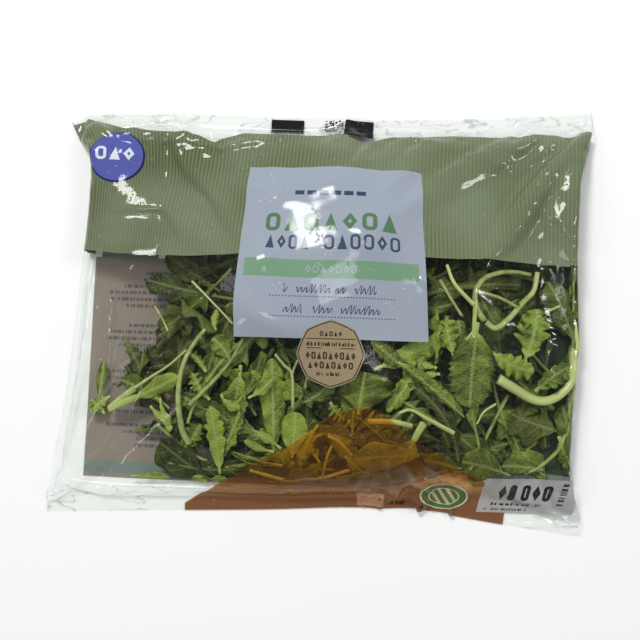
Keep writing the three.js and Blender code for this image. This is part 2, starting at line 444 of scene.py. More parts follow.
def mix_shader(tree, share, first, second):
    node = tree.nodes.new("ShaderNodeMixShader")
    for place, value in enumerate((share, first, second)):
        feed(tree, node.inputs[place], value)
    return node.outputs[0]


def noise(tree, vector, scale, detail=2.0, roughness=0.5):
    node = add_node(tree, "ShaderNodeTexNoise", Vector=vector, Scale=scale, Detail=detail,
                    Roughness=roughness)
    return Field(tree, node.outputs[0])


def noise_along(tree, place, scale):
    node = tree.nodes.new("ShaderNodeTexNoise")
    node.noise_dimensions = "1D"
    for name, value in (("W", place), ("Scale", scale), ("Detail", 0.0)):
        feed(tree, node.inputs[name], value)
    return Field(tree, node.outputs[0])


def object_place(tree):
    """The place on the table, in metres."""
    return tree.nodes.new("ShaderNodeTexCoord").outputs["Object"]


def split_up(tree, vector):
    """The x and y of a vector."""
    node = add_node(tree, "ShaderNodeSeparateXYZ", Vector=vector)
    return Field(tree, node.outputs[0]), Field(tree, node.outputs[1])


# The print, in millimetres on the flat film: x from the middle of the front, and y up from the middle.
# A box is left, right, bottom and top. A row of signs adds how many there are, their stroke and a shift,
# and a row of words a shift and a pitch.
BAND_TOP, BAND_BOTTOM, BAND_SLANT, BAND_TURNED = 86.5, 22.0, 3.6, 14.0
BAND_DIPS = ((-52.0, 13.0, 4.5), (20.0, 12.0, 5.5))
BAND_RISE_AT, BAND_RISE_RUN, BAND_RISE = -126.0, 45.0, 10.0
BAND_SLANT_FROM, BAND_SLANT_TO = -130.0, -40.0
BAND_INK, STRIPE_PITCH, STRIPE_SHARE, WIDE_SHARE = 0.94, 1.77, 0.45, 0.5
LABEL = (-33.4, 48.0, -15.0, 67.0)
LABEL_BAR, LABEL_TAPER, LABEL_DROP = (-30.0, 45.0, 11.5, 19.5), 0.00075, 0.00047
DASH_COUNT, DASH_LEFT, DASH_PITCH, DASH_WIDTH, DASH_ROW = 6, -10.0, 5.6, 4.2, (51.0, 53.2)
TITLE_ROW, BAR_ROW = (-23.5, 37.0, 33.0, 42.0, 7, 1.9, 0.0), (-4.0, 19.0, 13.8, 17.3, 7, 0.55, 0.5)
SLATE_ROWS = ((-22.0, -2.0, 24.3, 31.0, 4, 1.1, 0.75), (3.5, 38.0, 24.3, 31.0, 6, 1.1, 0.05))
SCRIPT_ENDS, SCRIPT_HEIGHT, SCRIPT_PITCH, SCRIPT_STROKE = (-12.5, 28.5), 3.0, 1.9, 0.50
SCRIPT_ROWS = ((5.2, 2.0), (-3.6, 31.0))
DOTTED_ENDS, DOTTED_DROP, DOTTED_PITCH = (-18.5, 34.5), (2.2, 1.7), 1.3
BADGE_CENTRE, BADGE_RADIUS, BADGE_FLAT, BADGE_RIMS = (8.8, -21.5), 14.0, 0.7, (0.45, 0.95)
BADGE_SIGNS = ((-5, 5, 7.6, 9.8, 5, 0.5), (-11, 11, -2.3, 0.9, 9, 0.65, 0.4),
               (-10, 10, -6.3, -3.3, 8, 0.65, 0.8))
BADGE_WORDS = ((-10.5, 10.5, 3.4, 5.2, 8.0, 0.75), (-6, 6, -9.4, -7.7, 37.0, 0.75))
BADGE_RULES, RULE_HALF, RULE_GAP, RULE_REACH = (6.5, 2.5), 0.2, 4.0, 10.5
EYE_MARKS = ((-26.5, -11.0, 91.5, 97.0), (8.8, 22.5, 86.0, 97.0))
EYE_FADED, EYE_SPECKLED = (-26.5, -11.0, 87.5, 91.5), (-1.2, 7.8, 88.5, 97.0)
AMBER_PEAK, AMBER_ROUND, AMBER_SLOPE = (22.0, -44.0), 7.0, 0.68
AMBER_MIDDLE, AMBER_HALF, AMBER_WANDER = 16.0, 76.0, 6.0
SEAL_MARK, SEAL_WORDS = (19.5, 32.5, -97.5, -91.0), (35.0, 62.0, -97.0, -94.4, 6.0, 1.0)
SEAL_MARK_WORDS = (21.0, 31.0, -94.2, -92.6, 61.0, 0.7)
# The dot, the oval and the date panel lie on creased film and still show whole: their places are on the table
DOT_CENTRE, DOT_RADIUS, DOT_RIM = (-95.2, 70.4), 12.6, 0.7
DOT_ROW = (-10.5, 8.5, -1.5, 5.0, 3, 1.3, 0.1)
OVAL_CENTRE, OVAL_HALF = (58.0, -82.1), (10.8, 5.8)
OVAL_RIM, OVAL_RING, OVAL_HEART, OVAL_RAYS = 0.8, 3.8, 4.4, (1.7, 1.1)
PANEL, PANEL_SLANT = (72.4, 114.0, -88.8, -73.4), 0.26
PANEL_SIGNS = ((7.0, 15.5, 5.6, 12.6, 2, 1.5, 0.3), (17.0, 31.0, 5.6, 12.6, 3, 1.5, 0.9))
PANEL_WORDS = ((5.0, 27.0, 3.2, 4.5, 22.0, 0.8), (3.0, 22.0, 1.0, 2.1, 42.0, 0.5))
PANEL_CODE = (33.6, 36.2, 4.0, 14.4)
BACK_LEFT, BACK_RIGHT, BACK_DARK_LEFT, BACK_LINE = -108.0, 121.0, 84.0, 3.1
BACK_BOTTOM, BACK_TOP, BACK_STRIPE, BACK_MARKS = -79.0, 24.0, (-77.0, -71.5), (-66.0, 19.0)

WHITE = (1.0, 1.0, 1.0)
OLIVE, OLIVE_DARK, OLIVE_LIGHT = (0.132, 0.160, 0.082), (0.086, 0.102, 0.040), (0.215, 0.262, 0.170)
LABEL_WHITE = (0.30, 0.34, 0.40)
BAR_GREEN, TITLE_GREEN, SLATE = (0.17, 0.30, 0.19), (0.085, 0.175, 0.095), (0.050, 0.068, 0.125)
KRAFT, KRAFT_DARK, KRAFT_RIM = (0.31, 0.235, 0.14), (0.035, 0.03, 0.022), (0.30, 0.26, 0.19)
INK, DOT_BLUE, DOT_EDGE = (0.012, 0.012, 0.014), (0.085, 0.100, 0.34), (0.012, 0.018, 0.09)
DOT_WHITE, SEAL_PINK, MIST_AND_PLEAT_SHADE_GREY = (0.62, 0.66, 0.74), (0.40, 0.26, 0.21), (0.50, 0.53, 0.53)
AMBER, AMBER_DEEP = (0.42, 0.16, 0.022), (0.18, 0.078, 0.038)
AMBER_TINT, CLEAR_TINT = (0.97, 0.63, 0.27), (0.97, 0.98, 0.97)
CREAM, OVAL_GREEN = (0.62, 0.63, 0.45), (0.09, 0.16, 0.05)
PANEL_WHITE, BACK_WHITE, BACK_GREY = (0.37, 0.37, 0.36), (0.25, 0.195, 0.15), (0.085, 0.08, 0.085)
TEAL, BACK_DARK = (0.15, 0.21, 0.18), (0.035, 0.055, 0.024)


class Print:
    """The ink on the film: fields of colour that are laid over each other, each with how much it hides."""

    def __init__(self, tree, x, y):
        self.tree, self.x, self.y = tree, x, y
        self.colour, self.ink = None, None

    def box(self, left, right, bottom, top):
        across = self.x.near((left + right) / 2, (right - left) / 2)
        return across * self.y.near((bottom + top) / 2, (top - bottom) / 2)

    def distance(self, centre, squash=1.0):
        dx, dy = self.x - centre[0], (self.y - centre[1]) * squash
        return (dx * dx + dy * dy).op("SQRT")

    def words(self, left, right, bottom, top, salt=0.0, pitch=1.0):
        """A row of small uneven marks, in groups, that stands in for small writing."""
        marks = noise_along(self.tree, self.x + salt, 1 / pitch).above(0.46)
        tall = noise_along(self.tree, self.x + salt + 50.0, 0.7 / pitch).above(0.55)
        low = self.y.below(bottom + 0.7 * (top - bottom)).over(tall)
        gaps = noise_along(self.tree, self.x + salt * 3.0, 0.2 / pitch).above(0.38)
        return self.box(left, right, bottom, top) * marks * low * gaps

    def scribble(self, left, right, bottom, top, salt, pitch, stroke):
        """A slanted wavy line, broken into words, that stands in for a line of script."""
        slanted = self.x - (self.y - bottom) * 0.3 + salt
        tall = noise_along(self.tree, slanted, 0.55 / pitch).steps(0.5, 0.6, 0.30, 0.62) * (top - bottom)
        turn = slanted * (2 * math.pi / pitch)
        line = turn.op("SINE") * tall + tall + bottom
        steep = turn.op("COSINE") * tall * (2 * math.pi / pitch)
        away = (self.y - line).op("ABSOLUTE").op("DIVIDE", (steep * steep + 1.0).op("SQRT"))
        gaps = noise_along(self.tree, self.x + salt * 3.0, 0.16).above(0.37)
        return self.box(left, right, bottom - stroke, top + stroke) * away.below(stroke / 2) * gaps

    def signs(self, left, right, bottom, top, count, stroke, salt=0.0):
        """A row of rings, lozenges and triangles that stands in for large writing."""
        pitch = (right - left) / count
        run = (self.x - left) * (1 / pitch)
        across = ((run.op("FRACT") - 0.5) * pitch).op("ABSOLUTE")
        up = (self.y - (bottom + top) / 2).op("ABSOLUTE")
        kind = (run.op("FLOOR") * 0.618 + (salt + 0.1)).op("FRACT")
        half_x, half_y = pitch * 0.38, (top - bottom) / 2
        corner = half_x * 0.85
        out_x, out_y = (across - (half_x - corner)).over(0.0), (up - (half_y - corner)).over(0.0)
        ring = (out_x * out_x + out_y * out_y).op("SQRT").near(corner - stroke / 2, stroke / 2)
        share = stroke * math.hypot(1 / half_x, 1 / half_y)
        lozenge = (across * (1 / half_x) + up * (1 / half_y)).near(1 - share / 2, share / 2)
        triangle = (across * (1 / half_x) + (self.y - bottom) * (1 / (top - bottom))).below(1.0)
        rings, triangles = ring * kind.below(0.40), triangle * kind.above(0.70)
        sign = rings.over(lozenge * kind.near(0.55, 0.15)).over(triangles)
        return self.box(left, right, bottom, top) * sign

    def lay(self, mask, colour, ink=1.0):
        solid = mask * ink
        if self.colour is None:
            self.colour, self.ink = mix_colour(self.tree, mask, colour, colour), solid
            return
        self.colour = mix_colour(self.tree, mask, self.colour, colour)
        self.ink = self.ink * mask.inverse() + solid if ink < 1 else self.ink.over(mask)

    def lay_rows(self, draw, rows, place, colour, ink=1.0):
        """Rows of signs or words, whose boxes are given from a place."""
        x, y = place
        for left, right, bottom, top, *rest in rows:
            self.lay(draw(x + left, x + right, y + bottom, y + top, *rest), colour, ink)


def vector_of(p, share=1.0):
    """The place on the film. A small share presses its x together, which draws a pattern out along x."""
    node = p.tree.nodes.new("ShaderNodeCombineXYZ")
    feed(p.tree, node.inputs[0], p.x * share)
    feed(p.tree, node.inputs[1], p.y)
    return node.outputs[0]


def lay_band(p):
    top = p.x.steps(BAND_RISE_AT, BAND_RISE_AT + BAND_RISE_RUN, BAND_TOP + BAND_RISE, BAND_TOP)
    for at, reach, depth in BAND_DIPS:
        fall = (p.x - at).op("ABSOLUTE") * (-depth / reach) + depth
        top = top - fall.over(0.0)
    bottom = p.x.steps(BAND_SLANT_FROM, BAND_SLANT_TO, BAND_BOTTOM + BAND_SLANT, BAND_BOTTOM)
    band = (top - p.y).above(0.0) * (p.y - bottom).above(0.0)
    stripe = (p.x * (2 * math.pi / STRIPE_PITCH)).op("SINE").steps(-0.4, 0.9)
    wide = noise(p.tree, vector_of(p), 0.016, 1.0).steps(0.38, 0.68)
    ground = mix_colour(p.tree, p.x.steps(-110.0, 90.0), OLIVE_DARK, OLIVE)
    ground = mix_colour(p.tree, wide * WIDE_SHARE, ground, OLIVE_LIGHT)
    p.lay(band, mix_colour(p.tree, stripe * STRIPE_SHARE, ground, OLIVE_LIGHT), BAND_INK)


def lay_label(p):
    p.lay(p.box(*LABEL), LABEL_WHITE)
    for step in range(DASH_COUNT):
        left = DASH_LEFT + step * DASH_PITCH
        p.lay(p.box(left, left + DASH_WIDTH, *DASH_ROW), SLATE, 0.85)
    p.lay(p.signs(*TITLE_ROW), TITLE_GREEN)
    for row in SLATE_ROWS:
        p.lay(p.signs(*row), SLATE)
    p.lay(p.box(*LABEL_BAR), BAR_GREEN)
    p.lay(p.signs(*BAR_ROW), LABEL_WHITE)
    dots = (p.x * (2 * math.pi / DOTTED_PITCH)).op("SINE").above(0.1)
    for bottom, salt in SCRIPT_ROWS:
        script = p.scribble(*SCRIPT_ENDS, bottom, bottom + SCRIPT_HEIGHT, salt, SCRIPT_PITCH, SCRIPT_STROKE)
        p.lay(script, SLATE)
        low, high = DOTTED_DROP
        p.lay(p.box(*DOTTED_ENDS, bottom - low, bottom - high) * dots, SLATE)


def lay_badge(p):
    x, y = BADGE_CENTRE
    dx, dy = (p.x - x).op("ABSOLUTE"), (p.y - y).op("ABSOLUTE")
    slant, steep = math.cos(math.pi / 8), math.sin(math.pi / 8)
    reach = (dx * slant + dy * steep).over(dx * steep + dy * slant)
    edge = reach * BADGE_FLAT + p.distance(BADGE_CENTRE) * (1 - BADGE_FLAT)
    for rim, colour in zip((0.0, *BADGE_RIMS), (KRAFT_RIM, KRAFT_DARK, KRAFT)):
        p.lay(edge.below(BADGE_RADIUS - rim), colour)
    p.lay_rows(p.signs, BADGE_SIGNS, BADGE_CENTRE, KRAFT_DARK)
    p.lay_rows(p.words, BADGE_WORDS, BADGE_CENTRE, KRAFT_DARK)
    whole, broken = (p.y.near(y + rise, RULE_HALF) for rise in BADGE_RULES)
    p.lay(whole.over(broken * dx.above(RULE_GAP)) * dx.below(RULE_REACH), KRAFT_DARK)


def lay_dot(p):
    x, y = DOT_CENTRE
    p.lay(p.distance(DOT_CENTRE).below(DOT_RADIUS), DOT_EDGE)
    p.lay(p.distance((x - 0.3, y + 0.4)).below(DOT_RADIUS - DOT_RIM), DOT_BLUE)
    p.lay_rows(p.signs, (DOT_ROW,), DOT_CENTRE, DOT_WHITE)


def lay_oval(p):
    away = p.distance(OVAL_CENTRE, OVAL_HALF[0] / OVAL_HALF[1])
    half, (ray_x, ray_y) = OVAL_HALF[0], OVAL_RAYS
    p.lay(away.below(half), CREAM, 0.95)
    p.lay(away.below(half - OVAL_RIM), OVAL_GREEN, 0.95)
    rays = (p.x * ray_x + p.y * ray_y).op("SINE").above(0.2)
    p.lay(away.below(half - OVAL_HEART) * rays, CREAM, 0.7)
    p.lay(away.below(half - OVAL_RING) * away.above(half - OVAL_HEART), CREAM, 0.95)


def lay_panel(p):
    """The date panel, which leans to the right. Its rows are given from its lower left corner."""
    corner = (PANEL[0], PANEL[2])
    x = p.x
    p.x = x - (p.y - corner[1]) * PANEL_SLANT
    p.lay(p.box(*PANEL), PANEL_WHITE, 0.86)
    p.lay_rows(p.signs, PANEL_SIGNS, corner, INK, 0.95)
    p.lay_rows(p.words, PANEL_WORDS, corner, INK, 0.9)
    bars = noise_along(p.tree, p.y, 1.0).above(0.45)
    p.lay_rows(lambda *box: p.box(*box) * bars, (PANEL_CODE,), corner, INK, 0.85)
    p.x = x


def lay_eye_marks(p):
    flat = vector_of(p)
    for mark in EYE_MARKS:
        p.lay(p.box(*mark), INK)
    p.lay(p.box(*EYE_FADED) * noise(p.tree, flat, 1.4, 1.0).above(0.47), INK, 0.8)
    p.lay(p.box(*EYE_SPECKLED) * noise(p.tree, flat, 0.9, 0.0).above(0.5), INK, 0.9)


def lay_bottom(p):
    """The amber field and the small marks on the bottom seal."""
    x, y = AMBER_PEAK
    fall = ((p.x - x) * (p.x - x) + AMBER_ROUND ** 2).op("SQRT") * AMBER_SLOPE
    wander = (noise_along(p.tree, p.x, 0.05) - 0.5) * AMBER_WANDER
    edge = fall * -1.0 + (y + AMBER_ROUND * AMBER_SLOPE) + wander
    p.tint = (edge - p.y).above(0.0) * p.x.near(AMBER_MIDDLE, AMBER_HALF)
    p.lay(p.tint, mix_colour(p.tree, p.y.steps(-86.0, -72.0), AMBER_DEEP, AMBER), 0.09)
    p.lay(p.tint * p.y.steps(-89.0, -76.0, 1.0, 0.0), AMBER_DEEP, 0.80)
    p.lay(p.box(*SEAL_MARK), SEAL_PINK, 0.6)
    p.lay(p.words(*SEAL_MARK_WORDS), INK, 0.5)
    p.lay(p.words(*SEAL_WORDS), INK, 0.85)


def lay_back(p):
    """The print on the back, from inside: pale with rows of marks, dark at the right, and the band's ends."""
    p.lay(p.box(BACK_LEFT, BACK_RIGHT, BACK_BOTTOM, BACK_TOP), BACK_WHITE, 0.72)
    p.lay(p.box(BACK_DARK_LEFT, BACK_RIGHT, BACK_STRIPE[1], BACK_TOP), BACK_DARK, 0.9)
    p.lay(p.box(BACK_LEFT + 3, BACK_LEFT + 30, BACK_TOP, BACK_TOP + 6), TEAL, 0.9)
    row = (p.y * (1 / BACK_LINE)).op("FRACT").near(0.4, 0.24)
    line = (p.y * (1 / BACK_LINE)).op("FLOOR")
    paragraph = noise_along(p.tree, line * 0.37, 1.0).above(0.42)
    marks = noise_along(p.tree, p.x + line * 7.3, 1.0).above(0.45)
    starts = (p.x + line.op("SINE") * 9.0).above(BACK_LEFT + 16)
    field = p.box(BACK_LEFT + 6, BACK_DARK_LEFT - 6, *BACK_MARKS)
    p.lay(field * row * paragraph * marks * starts, BACK_GREY, 0.8)
    p.lay(p.box(BACK_LEFT, BACK_RIGHT, *BACK_STRIPE), TEAL, 0.75)
    turned = p.x.op("ABSOLUTE").above(FILM_WIDTH / 2 - BAND_TURNED)
    middle, half = (BAND_TOP + BAND_BOTTOM + BAND_SLANT) / 2, (BAND_TOP - BAND_BOTTOM - BAND_SLANT) / 2
    p.lay(turned * p.y.near(middle, half), OLIVE, BAND_INK)


FILM_MIRROR, FILM_EDGE_MIRROR, FILM_ROUGHNESS, DROP_MIRROR = 0.017, 0.7, 0.09, 0.05
DROPS_PER_MM, DROP_HEIGHT, LEAST_INK, MIST_INK = 0.55, 0.00035, 0.03, 0.012
# Pleat lines by the sealed ends are painted grey: painted shade and reflection of pleats that the geometry
# doesn't have
PLEATS_PER_MM, PLEAT_STRETCH, PLEAT_PLACES, PLEAT_LINE, PLEAT_PAINTED_SHADE = 0.11, 0.25, (0.5, 0.42), 0.006, 0.26


def film_places(tree):
    """The flat film's place in millimetres: round from the front's left edge, and up from the middle."""
    uv = tree.nodes.new("ShaderNodeUVMap")
    uv.uv_map = "film"
    along, up = split_up(tree, uv.outputs[0])
    return along * (2 * FILM_WIDTH), up * FILM_HEIGHT - FILM_HEIGHT / 2


def finish_film(p, clear_tint):
    """Clear film with gloss and drops of water, where no ink hides it."""
    tree = p.tree
    flat = vector_of(p)
    mist = noise(tree, flat, 0.018, 1.0, 0.6).steps(0.45, 0.8, 0.0, MIST_INK)
    colour = mix_colour(tree, p.ink.above(LEAST_INK), MIST_AND_PLEAT_SHADE_GREY, p.colour)
    drops = add_node(tree, "ShaderNodeTexVoronoi", Vector=flat, Scale=DROPS_PER_MM)
    wet = noise(tree, flat, 0.045, 1.0).steps(0.5, 0.62)
    height = Field(tree, drops.outputs["Distance"]).steps(0.10, 0.34, 1.0, 0.0) * wet
    edge = p.y.op("ABSOLUTE").steps(FILM_HEIGHT / 2 - 1.6 * SEAL_HEIGHT, FILM_HEIGHT / 2 - 0.8 * SEAL_HEIGHT)
    # Painted shade: grey streaks along the pleats by the sealed ends, in the same grey as the mist
    pleats = noise(tree, vector_of(p, PLEAT_STRETCH), PLEATS_PER_MM, 2.0)
    first, second = (pleats.near(place, PLEAT_LINE) for place in PLEAT_PLACES)
    pleat_shade = first.over(second) * edge * PLEAT_PAINTED_SHADE
    bump = add_node(tree, "ShaderNodeBump", Height=height, Strength=1.0, Distance=DROP_HEIGHT)
    facing = Field(tree, add_node(tree, "ShaderNodeLayerWeight", Blend=0.5).outputs["Facing"])
    mirror = facing.op("POWER", 4.0) * FILM_EDGE_MIRROR + FILM_MIRROR + height * DROP_MIRROR
    clear = add_node(tree, "ShaderNodeBsdfTransparent", Color=clear_tint)
    gloss = add_node(tree, "ShaderNodeBsdfGlossy", Normal=bump.outputs[0], Color=WHITE,
                     Roughness=FILM_ROUGHNESS)
    ink = add_node(tree, "ShaderNodeBsdfDiffuse", Color=colour)
    pane = mix_shader(tree, p.ink.over(mist).over(pleat_shade), clear.outputs[0], ink.outputs[0])
    finish_material(tree, mix_shader(tree, mirror, pane, gloss.outputs[0]))


def front_material():
    material, tree = new_material("film_front")
    along, y = film_places(tree)
    x = along - FILM_WIDTH / 2
    p = Print(tree, x, y)
    lay_band(p)
    left, _, bottom, top = LABEL
    p.x = x + (y - (bottom + top) / 2) * (x - left) * LABEL_TAPER
    p.y = y + (y - bottom) * (x - left) * LABEL_DROP
    lay_label(p)
    p.x, p.y = x, y
    lay_badge(p)
    lay_eye_marks(p)
    lay_bottom(p)
    p.x, p.y = (place * (1 / MM) for place in split_up(tree, object_place(tree)))
    lay_dot(p)
    lay_oval(p)
    lay_panel(p)
    p.x, p.y = x, y
    finish_film(p, mix_colour(tree, p.tint, CLEAR_TINT, AMBER_TINT))
    return material


def back_material():
    material, tree = new_material("film_back")
    along, y = film_places(tree)
    p = Print(tree, along * -1.0 + 1.5 * FILM_WIDTH, y)
    lay_back(p)
    finish_film(p, CLEAR_TINT)
    return material


# Leaves. A leaf is a grid of stations along it and places across it, with a top and an underside that share
# their rim. Its blade starts where its stalk ends.
STATIONS, PLACES = 44, 11


def smooth(low, high, value):
    t = np.clip((value - low) / (high - low), 0, 1)
    return t * t * (3 - 2 * t)


def along_blade(s, leaf):
    """From 0 at the end of the stalk to 1 at the tip."""
    return np.clip((s - leaf["stalk"]) / (1 - leaf["stalk"]), 0, 1)


def lobed_outline(s, side, leaf):
    """Deep narrow lobes and a broad end, as of rocket."""
    t = along_blade(s, leaf)
    lobes = np.clip(np.cos(2 * np.pi * (leaf["lobes"] * t + leaf["phase"] + 0.13 * side)), -0.35, 1)
    arms = (0.30 + 0.70 * smooth(-0.35, 0.9, lobes)) * (0.25 + 0.75 * smooth(0, 0.5, t)) * (t < 0.74)
    end = np.sqrt(np.clip(1 - ((t - 0.80) / 0.20) ** 2, 0, 1)) * (0.62 + 0.08 * side)
    return np.maximum(arms * (1 - smooth(0.66, 0.76, t)), end) * smooth(0, 0.06, t)


def toothed_outline(s, side, leaf):
    t = along_blade(s, leaf)
    blade = np.sin(np.pi * t ** 0.85) ** 0.62
    tooth = (leaf["lobes"] * t + leaf["phase"] + 0.3 * side) % 1
    return blade * (1 - 0.27 * tooth * (1 - 0.5 * t)) + 0.05 * np.sin(9 * t + leaf["phase"]) * blade


def smooth_outline(s, side, leaf):
    t = along_blade(s, leaf)
    blade = np.sin(np.pi * t ** 1.25) ** 0.6
    return blade * (1 + 0.07 * np.sin(leaf["lobes"] * 2 * np.pi * t + leaf["phase"] * 6 + side))


def frilled_outline(s, side, leaf):
    """Short uneven lobes all along, as of a crumpled rocket tip."""
    t = along_blade(s, leaf)
    blade = np.sin(np.pi * t ** 0.9) ** 0.55
    run = leaf["lobes"] * (t + 0.05 * np.sin(9 * t + leaf["phase"] * 6))
    lobes = np.abs(np.sin(np.pi * (run + leaf["phase"] + 0.2 * side))) ** 0.7
    return blade * (0.68 + 0.32 * lobes * (1 - 0.3 * np.sin(5 * t + leaf["phase"] * 7)))


OUTLINES = {"lobed": lobed_outline, "toothed": toothed_outline, "smooth": smooth_outline,
            "frilled": frilled_outline}
# The heap's room, in millimetres: where there is no front, its height at the rim, the least room that counts,
# and how far a leaf stays from the back and the front
NO_FRONT, RIM_ROOM, LEAST_ROOM = 99.0, 1.0, 1.3
OFF_BACK, OFF_FRONT, LEAF_ROOM = 0.5, 0.7, 0.6
EDGE_TURN, FILLER_CEILING, LAYER_RISE = 3.0, 0.9, 0.2


class Space:
    """How high the film leaves room for leaves, over each place of the table."""

    CELL, LEFT, BOTTOM = 2.0, -130.0, -102.0

    def __init__(self, film):
        half = film.shape[0] // 2
        shape = (int(-2 * self.LEFT / self.CELL), int(-2 * self.BOTTOM / self.CELL))
        self.top, self.low = np.full(shape, NO_FRONT), np.zeros(shape)
        front = film[1:half].reshape(-1, 3)
        back = film[half + 1:].reshape(-1, 3)
        np.minimum.at(self.top, self.cell(front[:, 0], front[:, 1]), front[:, 2])
        np.maximum.at(self.low, self.cell(back[:, 0], back[:, 1]), back[:, 2])
        bare = self.top == NO_FRONT
        for _ in range(2):
            self.top = np.minimum.reduce(self.around(self.top))
        self.top = sum(self.around(self.top)) / 9
        self.top[bare] = RIM_ROOM
        wide = self.top > self.low + LEAST_ROOM
        self.x = self.LEFT + (np.arange(shape[0]) + 0.5) * self.CELL
        self.y = self.BOTTOM + (np.arange(shape[1]) + 0.5) * self.CELL
        self.left, self.right = self.ends(self.x, wide.T)
        self.bottom, self.upper = self.ends(self.y, wide)

    def cell(self, x, y):
        i = np.clip(((x - self.LEFT) / self.CELL).astype(int), 0, self.top.shape[0] - 1)
        j = np.clip(((y - self.BOTTOM) / self.CELL).astype(int), 0, self.top.shape[1] - 1)
        return i, j

    @staticmethod
    def around(grid):
        """The grid and its eight neighbours."""
        return [np.roll(np.roll(grid, i, 0), j, 1) for i in (-1, 0, 1) for j in (-1, 0, 1)]

    @staticmethod
    def ends(places, wide):
        """The first and the last place with room, on each line of the grid."""
        lines = [places[line] if line.any() else np.zeros(1) for line in wide]
        return [np.array([end(line) for line in lines]) for end in (min, max)]

    def sample(self, grid, x, y):
        u = np.clip((x - self.LEFT) / self.CELL - 0.5, 0, grid.shape[0] - 1.001)
        v = np.clip((y - self.BOTTOM) / self.CELL - 0.5, 0, grid.shape[1] - 1.001)
        i, j = u.astype(int), v.astype(int)
        a, b = u - i, v - j
        near = grid[i, j] * (1 - b) + grid[i, j + 1] * b
        far = grid[i + 1, j] * (1 - b) + grid[i + 1, j + 1] * b
        return near * (1 - a) + far * a

    def room(self, x, y):
        low = self.sample(self.low, x, y) + OFF_BACK
        return low, np.maximum(self.sample(self.top, x, y) - OFF_FRONT, low + LEAF_ROOM)


def bend_back(value, low, high):
    """Turns what reaches past the low or high limit back along it."""
    past = np.clip(value - (high - EDGE_TURN), 0, None)
    value = value - past + EDGE_TURN * (1 - np.exp(-past / EDGE_TURN))
    short = np.clip(low + EDGE_TURN - value, 0, None)
    return value + short - EDGE_TURN * (1 - np.exp(-short / EDGE_TURN))


def keep_inside(space, x, y):
    y = bend_back(y, np.interp(x, space.x, space.bottom), np.interp(x, space.x, space.upper))
    x = bend_back(x, np.interp(y, space.y, space.left), np.interp(y, space.y, space.right))
    return x, y


def moved_inside(space, x, y, margin):
    """Moves a whole leaf's midrib inside the pouch, as far as it goes."""
    for _ in range(3):
        over = y - np.interp(x, space.x, space.upper) + margin
        under = np.interp(x, space.x, space.bottom) - y + margin
        y = y - max(over.max(), 0) + max(under.max(), 0)
        over = x - np.interp(y, space.y, space.right) + margin
        under = np.interp(y, space.y, space.left) - x + margin
        x = x - max(over.max(), 0) + max(under.max(), 0)
    return x, y


def place_between(space, x, y, height, leaf):
    """The height of a point of a leaf that lies in a layer from 0, the lowest, to 1, under the film."""
    low, high = space.room(x, y)
    z = low + (high - low) * leaf["layer"] + height
    high = low + (high - low) * (1.0 if leaf["placed"] else min(leaf["layer"] + LAYER_RISE, FILLER_CEILING))
    z = 0.5 * (z + high - np.sqrt((z - high) ** 2 + 1.0))
    return 0.5 * (z + low + np.sqrt((z - low) ** 2 + 1.0))


# Side veins lean towards the tip by this share of a vein for each millimetre
VEIN_LEAN = 0.11


def leaf_grid(leaf, space):
    """The leaf's middle surface, its half thickness, and what its material reads."""
    s = np.linspace(0, 1, STATIONS)
    c = np.linspace(-1, 1, PLACES)
    turn = leaf["heading"] + leaf["bend"] * (s - 0.5)
    step = leaf["length"] / (STATIONS - 1)
    px = leaf["x"] + np.concatenate([[0], np.cumsum(np.cos(turn[:-1]) * step)])
    py = leaf["y"] + np.concatenate([[0], np.cumsum(np.sin(turn[:-1]) * step)])
    if not leaf["placed"]:
        px, py = moved_inside(space, px, py, EDGE_TURN + 0.6 * leaf["half_width"])
    outline = OUTLINES[leaf["kind"]]
    blade = smooth(leaf["stalk"] - 0.05, leaf["stalk"] + 0.12, s)
    stalk = leaf["rib"] * (1.15 - 0.5 * s)
    least = stalk * (1.0 - 0.7 * blade)
    half = [np.maximum(outline(s, side, leaf) * leaf["half_width"], least) for side in (-1, 1)]
    width = np.where(c[None, :] < 0, half[0][:, None], half[1][:, None])
    d = c[None, :] * width
    reach = np.abs(c)[None, :] * np.ones_like(d)
    cup = leaf["cup"] * reach * blade[:, None]
    waves = np.sin(2 * np.pi * (leaf["waves"] * s[:, None] + 0.17 * np.sign(c)[None, :]) + leaf["phase"] * 9)
    side = d * np.cos(cup)
    rise = np.abs(d) * np.sin(cup) + leaf["ruffle"] * waves * reach ** 2 * blade[:, None] * width / 8
    veins = (leaf["veins"] * s[:, None] - np.abs(d) * VEIN_LEAN) % 1
    rise = rise - leaf["quilt"] * np.abs(veins - 0.5) * 2 * blade[:, None] * np.clip(reach * 3, 0, 1)
    roll = (leaf["bank"] + leaf["twist"] * (s - 0.5))[:, None]
    lateral = side * np.cos(roll) - rise * np.sin(roll)
    height = side * np.sin(roll) + rise * np.cos(roll)
    height = height + (leaf["arch"] * np.sin(np.pi * s) * leaf["length"])[:, None]
    sweep = leaf["sweep"] * np.abs(d)
    x = px[:, None] - np.sin(turn)[:, None] * lateral + np.cos(turn)[:, None] * sweep
    y = py[:, None] + np.cos(turn)[:, None] * lateral + np.sin(turn)[:, None] * sweep
    x, y = keep_inside(space, x, y)
    z = place_between(space, x, y, height, leaf)
    points = np.stack([x, y, z], -1)
    round_stalk = stalk[:, None] * np.sqrt(np.clip(1 - c[None, :] ** 2, 0, 1))
    rib = 0.16 + stalk[:, None] * 0.7 * np.exp(-(d / (stalk[:, None] * 0.8)) ** 2) * (1 - 0.7 * s[:, None])
    thick = round_stalk * (1 - blade[:, None]) + rib * blade[:, None]
    return points, thick, d, np.broadcast_to(s[:, None], d.shape), np.broadcast_to(blade[:, None], d.shape)


def grid_normals(points):
    along, across = np.gradient(points, axis=0), np.gradient(points, axis=1)
    normals = np.cross(along, across)
    return normals / (np.linalg.norm(normals, axis=-1, keepdims=True) + 1e-9)


